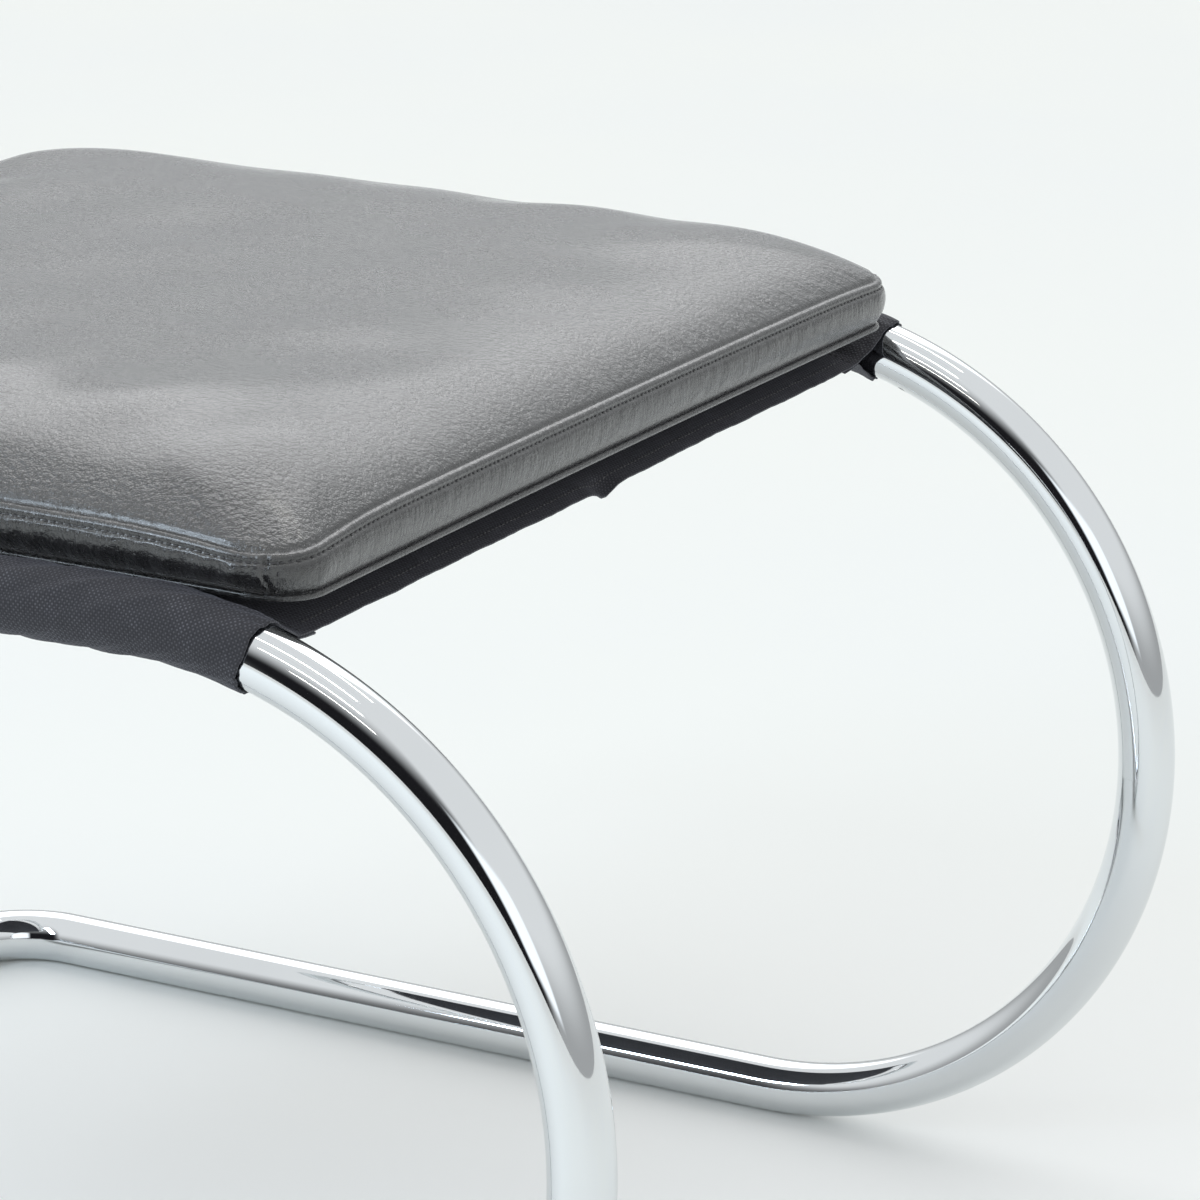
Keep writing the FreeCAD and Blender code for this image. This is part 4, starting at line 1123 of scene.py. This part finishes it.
class STOOL_OT_cushion(bpy.types.Operator):
    """Inflate the cushion's leather cover, and shape its seams, folds and zip slot"""
    bl_idname = "stool.cushion"
    bl_label = "Leather cushion"

    def execute(self, context):
        cover = Cover(*COVER_CELLS, BAND_ROWS)
        places, faces, along, across = cover.mesh_data()
        piece = new_piece("cushion_cover", settle(places), faces, leather_finish())
        face_out(piece.data)
        mesh = piece.data
        base, outward = positions(mesh), directions(mesh)
        x, y = base[:, 0], base[:, 1]
        top, band = across >= 0, (across < 0) & (across > -22 * MM)
        depth = np.abs(across)
        relief = np.zeros(len(base))
        # broad soft waves, and the cloth's own folds
        inner = eased(depth, 4 * MM, 60 * MM)
        soft = waves(x * 0.75, y * 1.3, 21, 9, 150 * MM, 62 * MM)
        relief += top * inner * sizes().undulation * 0.62 * soft
        coarse, folds = cloth_relief()
        across_x = cubic_weights(np.linspace(0, 1, cover.nx + 1), coarse.nx)
        across_y = cubic_weights(np.linspace(0, 1, cover.ny + 1), coarse.ny)
        relief[cover.top_grid] += across_x @ folds @ across_y.T
        # puckers that run away from the seams
        pucker = waves(along, depth * 0.25, 31, 8, 15 * MM, 6.5 * MM)
        relief += top * 0.14 * MM * pucker * np.exp(-depth / (9 * MM)) * eased(depth, 0, 1.5 * MM)
        slanted = waves(along + 0.5 * depth, depth * 0.3, 37, 8, 13 * MM, 6 * MM)
        upper = eased(depth, 4.6 * MM, 8 * MM) * (1 - eased(depth, 15 * MM, 21 * MM))
        near_side = eased(-outward[:, 0], 0.4, 0.9)
        relief += band * upper * (0.10 + 0.34 * near_side) * MM * slanted
        dimple = np.cos(along * (2 * math.pi / (2.0 * sizes().stitch_pitch)))
        relief += band * 0.05 * MM * dimple * np.exp(-((depth - STITCH_DROP) / (1.2 * MM)) ** 2)
        # seams
        relief -= (top | band) * 0.95 * MM * np.exp(-(depth / (0.85 * MM)) ** 2)
        relief += band * 0.30 * MM * eased(depth, 0.5 * MM, 1.6 * MM) * (1 - eased(depth, 2.8 * MM, STITCH_DROP))
        relief -= band * 0.75 * MM * np.exp(-((depth - STITCH_DROP) / (0.8 * MM)) ** 2)
        relief -= band * 0.15 * MM * np.exp(-((21.5 * MM - depth) / (0.7 * MM)) ** 2)
        seam_front, seam_rear = FRONT_Y + BAND_SEAM_IN, SEAM_REAR_Y - BAND_SEAM_IN
        on_side = band & (np.abs(x) > HALF_X - 30 * MM)
        for seam_y in (seam_front, seam_rear):
            off = np.abs(y - seam_y)
            relief -= on_side * 1.1 * MM * np.exp(-(off / (0.7 * MM)) ** 2) * eased(depth, 0.8 * MM, 2.4 * MM)
            relief += on_side * 0.35 * MM * np.exp(-((off - 2.0 * MM) / (0.9 * MM)) ** 2)
        # the zip's slot: the leather turns in above and below the tapes
        slot = band & (y > SEAM_REAR_Y - 3 * MM) & (np.abs(x) < SLOT_HALF_X)
        slot &= (depth > SLOT_TOP) & (depth < SLOT_BOTTOM)
        relief[slot] = 0
        shaped = base + outward * relief[:, None]
        shaped[slot, 1] = SEAM_REAR_Y - 1.15 * MM
        move_to(mesh, shaped)
        # a face across the start of the seam counts on from its end, so that its pattern isn't squeezed
        corners = rows_of(mesh.loops, "vertex_index", 1, int)
        totals = rows_of(mesh.polygons, "loop_total", 1, int)
        owner = np.repeat(np.arange(len(totals)), totals)
        u, v = along[corners], across[corners]
        highest = np.zeros(len(totals))
        np.maximum.at(highest, owner, u)
        u = np.where(highest[owner] - u > cover.round_length / 2, u + cover.round_length, u)
        lay_uv(mesh, "seams", u, v)
        finished(piece, "cushion", "black_leather", "cushion_top_panel", "cushion_bottom_panel",
                 "cushion_front_band", "cushion_left_band", "cushion_right_band", "cushion_zip_band")
        self.sew(cover, shaped)
        return {"FINISHED"}

    def sew(self, cover, places):
        """Thread round the top seam, down beside the upright seams and along the foot of the zip's slot."""
        row = int(np.argmin(np.abs(BAND_ROWS - STITCH_DROP)))
        normals = np.stack([*cover.band_normals, np.zeros(len(cover.band_along))], -1)
        proud = 0.22 * MM
        lines = [(places[cover.rings[row]] + normals * proud, True)]
        ring_xy = places[cover.rings[12]]
        for seam_y, offset in ((FRONT_Y + BAND_SEAM_IN, -4.2 * MM), (SEAM_REAR_Y - BAND_SEAM_IN, 4.2 * MM)):
            for sign in (-1, 1):
                gap = np.abs(ring_xy[:, 1] - (seam_y + offset)) + (ring_xy[:, 0] * sign < 0)
                column = int(np.argmin(gap))
                line = [places[ring[column]] + normals[column] * proud for ring in cover.rings[8:-1]]
                lines.append((line, False))
        row = int(np.argmin(np.abs(BAND_ROWS - (SLOT_BOTTOM + 2.4 * MM))))
        ring = places[cover.rings[row]]
        rear = (ring[:, 1] > SEAM_REAR_Y - 3 * MM) & (np.abs(ring[:, 0]) < SLOT_HALF_X + 4 * MM)
        lines.append((ring[rear] + normals[rear] * proud, False))
        piece = polylines("cushion_stitches", lines)
        stitch_recipe().make(
            piece, Pitch=sizes().stitch_pitch, Length=sizes().stitch_length, Width=sizes().thread_width,
            Material=thread_finish())
        finished(piece, "cushion", "black_leather")


class STOOL_OT_filling(bpy.types.Operator):
    """Make the wadding wrap and the foam core inside the cover"""
    bl_idname = "stool.filling"
    bl_label = "Cushion filling"

    def execute(self, context):
        rows = np.linspace(0, 1, 5) * (TOP_SEAM_Z - BOTTOM_SEAM_Z)
        for name, gap, material, slot, node in (
                ("wadding_wrap", WADDING_GAP, wadding_finish(), "wadding", "cushion_wadding"),
                ("foam_core", FOAM_GAP, foam_finish(), "foam", "cushion_foam")):
            places, faces, _, across = Cover(*FILLING_CELLS, rows, gap=gap, step=2).mesh_data()
            piece = new_piece(name, settle(places), faces, material)
            face_out(piece.data)
            base, outward = positions(piece.data), directions(piece.data)
            lumps = waves(base[:, 0], base[:, 1], 41, 8, 60 * MM, 24 * MM)
            move_to(piece.data, base + outward * (0.25 * MM * lumps * (across > 8 * MM))[:, None])
            finished(piece, "cushion", slot, node)
        return {"FINISHED"}


class STOOL_OT_piping(bpy.types.Operator):
    """Run the covered cord round the cushion's bottom seam"""
    bl_idname = "stool.piping"
    bl_label = "Cushion piping"

    def execute(self, context):
        side = np.repeat([0, 1, 2, 3], 150)
        share = np.tile(np.linspace(-1, 1, 151)[:-1], 4)
        x, y, nx, ny, _ = rounded_ring(side, share, HALF_X, HALF_Y, SEAM_CORNER)
        out = (PIPING_R + 0.05 * MM) / math.sqrt(2)
        inset = SIDE_DRAW * nx ** 2 + np.where(ny < 0, 0.0, 0.6 * MM) * ny ** 2 - out
        z = np.full(x.shape, BOTTOM_SEAM_Z - out)
        places = settle(np.stack([x - nx * inset, y - ny * inset, z], -1))
        piece = polylines("cushion_piping_cord", [(places, True)])
        cord_recipe().make(piece, Radius=PIPING_R, Sides=14, Material=leather_finish("piping_leather", 1.6))
        far_from_seams = np.full(len(piece.data.loops), 0.2)
        lay_uv(piece.data, "seams", far_from_seams, far_from_seams)
        finished(piece, "cushion", "piping_leather", "cushion_piping")
        return {"FINISHED"}


class STOOL_OT_zip(bpy.types.Operator):
    """Wind the zip's two coils, and finish its tapes, stops, slider and pull"""
    bl_idname = "stool.zip"
    bl_label = "Zip"

    def execute(self, context):
        recipe = Recipe("wound_coil", [
            ("Turns", "NodeSocketFloat"), ("Coil length", "NodeSocketFloat"), ("Coil width", "NodeSocketFloat"),
            ("Coil height", "NodeSocketFloat"), ("Wire radius", "NodeSocketFloat"),
            ("Material", "NodeSocketMaterial")])
        winding = recipe.node("GeometryNodeCurveSpiral", inputs={
            "Resolution": 9, "Rotations": recipe.given("Turns"), "Start Radius": 0.5, "End Radius": 0.5,
            "Height": 1.0})
        shape = recipe.node("ShaderNodeCombineXYZ", inputs={
            "X": recipe.given("Coil width"), "Y": recipe.given("Coil height"), "Z": recipe.given("Coil length")})
        winding = recipe.node("GeometryNodeTransform", inputs={"Geometry": winding, "Scale": shape})
        wire = recipe.node("GeometryNodeCurvePrimitiveCircle", inputs={
            "Resolution": 5, "Radius": recipe.given("Wire radius")})
        coil = recipe.node("GeometryNodeCurveToMesh", inputs={
            "Curve": winding, "Profile Curve": wire, "Fill Caps": True})
        recipe.finish(recipe.node("GeometryNodeSetShadeSmooth", inputs={"Geometry": coil}))
        nylon = coil_finish()
        length = coil_high.x - coil_low.x - 2 * WIRE_R
        for name, node, low, high, sign in (
                ("upper_coil", "zip_upper_coil", coil_low, coil_high, -1),
                ("lower_coil", "zip_lower_coil", lower_coil_low, lower_coil_high, 1)):
            piece = polylines(name, [([(0, 0, 0), (MM, 0, 0)], False)])
            width = high.z - low.z + 2 * COIL_REACH - 2 * WIRE_R
            height = high.y - low.y - 2 * WIRE_R
            recipe.make(piece, Turns=length / sizes().coil_pitch, Coil_length=length, Coil_width=width,
                        Coil_height=height, Wire_radius=WIRE_R, Material=nylon)
            # the coil is wound up Z: lay it along X, its width up Z
            turn = Matrix(((0, 0, 1), (0, 1, 0), (1, 0, 0))).to_4x4()
            # the lower coil's turns lie between the upper one's
            ahead = 0 if sign < 0 else sizes().coil_pitch / 2 - WIRE_R
            shift = Vector((
                low.x + WIRE_R + ahead, (low.y + high.y) / 2, (low.z + high.z) / 2 + sign * COIL_REACH))
            piece.data.transform(Matrix.Translation(shift) @ turn)
            piece.data.flip_normals()
            finished(piece, "cushion", "zip_coil", node)
        dress(tape_finish(), "zip_upper_tape", "zip_lower_tape")
        dress(nickel_finish(), "zip_end_stops", "zip_slider", "zip_pull")
        return {"FINISHED"}


def area_lamp(name, place, target, size_x, size_y, radiance, colour, glossy_only=False):
    """A rectangular lamp that looks at its target. Its power follows from how bright its face is."""
    lamp = bpy.data.lights.new(name, "AREA")
    lamp.shape = "RECTANGLE"
    lamp.size, lamp.size_y = size_x, size_y
    lamp.energy = radiance * math.pi * size_x * size_y
    lamp.color = colour
    holder = bpy.data.objects.new(name, lamp)
    bpy.context.scene.collection.objects.link(holder)
    look = (Vector(target) - Vector(place)).to_track_quat("-Z", "Y")
    holder.matrix_world = Matrix.Translation(place) @ look.to_matrix().to_4x4()
    holder.visible_camera = False
    holder.visible_diffuse = not glossy_only
    return holder


class STOOL_OT_stage(bpy.types.Operator):
    """Lay the floor, light it softly and set up the camera"""
    bl_idname = "stool.stage"
    bl_label = "Floor, light and camera"

    def execute(self, context):
        scene = context.scene
        scene.view_settings.view_transform = "Standard"
        self.floor()
        self.world(scene)
        self.lamps()
        self.camera(scene)
        return {"FINISHED"}

    def floor(self):
        f = Finish("white_floor")
        place = f.place()
        x, y, _ = f.split(place)
        pale = tuple(colours().floor)
        cool = (pale[0] * 0.955, pale[1] * 0.965, pale[2] * 1.01)
        drift = f.noise(place, 1.4, 3.0).ramped(0.35, 0.7)
        scuff = f.noise(f.stretched(place, (1.0, 2.6, 1.0), (0, 0, 0.6)), 28.0, 5.0, 0.65).ramped(0.62, 0.78)
        colour = f.mixed((drift * 0.35 + scuff * 0.12).limited(), pale, cool)
        seen = f.node("ShaderNodeLightPath", {}, {}, "Is Camera Ray")
        # painted light: camera rays see the floor mixed towards white around the near front corner, which
        # lightens the stool's shadow there
        around = ((x + 0.35) * (x + 0.35) + (y + 0.25) * (y + 0.25)) ** 0.5
        lift = around.ramped(0.35, 1.30, 0.75, 0.06)
        colour = f.mixed(seen * lift, colour, (0.98, 1.0, 0.995))
        material = f.surface(
            Base_Color=colour, Roughness=0.62 - scuff * 0.1, IOR=1.4, Specular_IOR_Level=0.35,
            Normal=f.bump(f.noise(place, 900.0, 2.0), 0.05 * MM, 0.2))
        rings, spokes = FLOOR_RINGS, FLOOR_SPOKES
        vertices, faces = [(0, 0, 0)], []
        for ring in range(1, rings + 1):
            for spoke in range(spokes):
                angle = 2 * math.pi * spoke / spokes
                radius = FLOOR_REACH * (ring / rings) ** 1.6
                vertices.append((radius * math.cos(angle), radius * math.sin(angle), 0))
        for spoke in range(spokes):
            following = (spoke + 1) % spokes
            faces.append((0, 1 + spoke, 1 + following))
            for ring in range(rings - 1):
                a, b = 1 + ring * spokes, 1 + (ring + 1) * spokes
                faces.append((a + spoke, b + spoke, b + following, a + following))
        new_piece("white_floor", vertices, faces, material, smooth=False)

    def world(self, scene):
        """White all round for what it lights; for mirrors a grey room with a window, a dark wall and a slit."""
        world = bpy.data.worlds.new("studio")
        scene.world = world
        f = Finish("studio", world)
        x, y, steep = f.split(f.node("ShaderNodeTexCoord", {}, {}, "Generated"))
        flat = ((x * x + y * y) ** 0.5 + 1e-4)
        east, north = x / flat, y / flat
        general = steep.ramped(0.02, 0.40, 0.42, 0.84)
        room = f.joined(general, general * 1.03, general * 1.04)
        # a bright window behind the stool, a dark wall to the camera's left, and a narrow light beside it
        behind = (east * math.sin(WINDOW_TURN) + north * math.cos(WINDOW_TURN)).ramped(0.82, 0.95)
        window = behind * steep.ramped(0.32, 0.50) * steep.ramped(0.80, 0.92, 1.0, 0.0)
        room = f.mixed(window, room, (3.0, 3.02, 3.05))
        leftwards = (0.0 - east).ramped(0.80, 0.94)
        wall = leftwards * steep.ramped(0.34, 0.94, 1.0, 0.0)
        room = f.mixed(wall, room, (0.012, 0.012, 0.014))
        beside = (east * math.sin(SLIT_TURN) + north * math.cos(SLIT_TURN)).ramped(0.955, 0.985)
        slit = beside * steep.ramped(0.02, 0.10) * steep.ramped(0.40, 0.50, 1.0, 0.0)
        mirror_colour = f.mixed(slit, room, (1.25, 1.33, 1.38))
        plain = (1.0, 1.0, 1.0)
        glossy = f.node("ShaderNodeLightPath", {}, {}, "Is Glossy Ray")
        seen = f.node("ShaderNodeLightPath", {}, {}, "Is Camera Ray")
        colour = f.mixed(glossy, plain, mirror_colour)
        colour = f.mixed(seen, colour, (0.84, 0.88, 0.85))
        background = f.node("ShaderNodeBackground", {}, {"Color": colour, "Strength": 1.0})
        f.node("ShaderNodeOutputWorld", {}, {"Surface": background})

    def lamps(self):
        """Four narrow strips overhead that only mirrors show, and a tall cool softbox at the near side."""
        for index, x in enumerate(STRIP_PLACES):
            place, below = (x, ARC_Y - 0.15, STRIP_HEIGHT), (x, ARC_Y - 0.15, 0)
            area_lamp("ceiling_strip_%d" % index, place, below, STRIP_WIDTH, STRIP_LENGTH,
                      STRIP_RADIANCE, WARM, True)
        area_lamp("side_softbox", SOFTBOX_PLACE, SOFTBOX_TARGET, SOFTBOX_WIDTH, SOFTBOX_HEIGHT,
                  SOFTBOX_RADIANCE, COOL)

    def camera(self, scene):
        lens = bpy.data.cameras.new("camera")
        lens.sensor_fit = "HORIZONTAL"
        lens.sensor_width = VIEW_SENSOR
        lens.lens = VIEW_LENS
        lens.clip_end = 60.0
        holder = bpy.data.objects.new("camera", lens)
        scene.collection.objects.link(holder)
        ahead = Vector((
            math.sin(VIEW_YAW) * math.cos(VIEW_PITCH), math.cos(VIEW_YAW) * math.cos(VIEW_PITCH),
            -math.sin(VIEW_PITCH)))
        right = ahead.cross(Vector((0, 0, 1))).normalized()
        up = right.cross(ahead)
        c, s = math.cos(VIEW_ROLL), math.sin(VIEW_ROLL)
        right, up = c * right + s * up, c * up - s * right
        turn = Matrix((right, up, -ahead)).transposed().to_4x4()
        holder.matrix_world = Matrix.Translation(VIEW_PLACE) @ turn
        scene.camera = holder


class STOOL_PT_panel(bpy.types.Panel):
    """Sizes, colours and the steps that make the stool"""
    bl_idname = "STOOL_PT_panel"
    bl_label = "Stool"
    bl_space_type = "VIEW_3D"
    bl_region_type = "UI"
    bl_category = "Stool"

    def draw(self, context):
        layout = self.layout
        for group in (context.scene.stool_sizes, context.scene.stool_colours):
            for name in group.bl_rna.properties.keys():
                if name not in ("rna_type", "name"):
                    layout.prop(group, name)
        for step in STEPS:
            layout.operator(step.bl_idname)


STEPS = (STOOL_OT_stage, STOOL_OT_frame, STOOL_OT_sling, STOOL_OT_cushion, STOOL_OT_filling,
         STOOL_OT_piping, STOOL_OT_zip)
CLASSES = (StoolSizes, StoolColours, *STEPS, STOOL_PT_panel)


def register():
    for kind in CLASSES:
        bpy.utils.register_class(kind)
    bpy.types.Scene.stool_sizes = bpy.props.PointerProperty(type=StoolSizes)
    bpy.types.Scene.stool_colours = bpy.props.PointerProperty(type=StoolColours)


def unregister():
    del bpy.types.Scene.stool_colours
    del bpy.types.Scene.stool_sizes
    for kind in reversed(CLASSES):
        bpy.utils.unregister_class(kind)


def main():
    register()
    bpy.ops.stool.stage()
    bpy.ops.stool.frame()
    bpy.ops.stool.sling()
    bpy.ops.stool.cushion()
    bpy.ops.stool.filling()
    bpy.ops.stool.piping()
    bpy.ops.stool.zip()


if __name__ == "__main__":
    main()
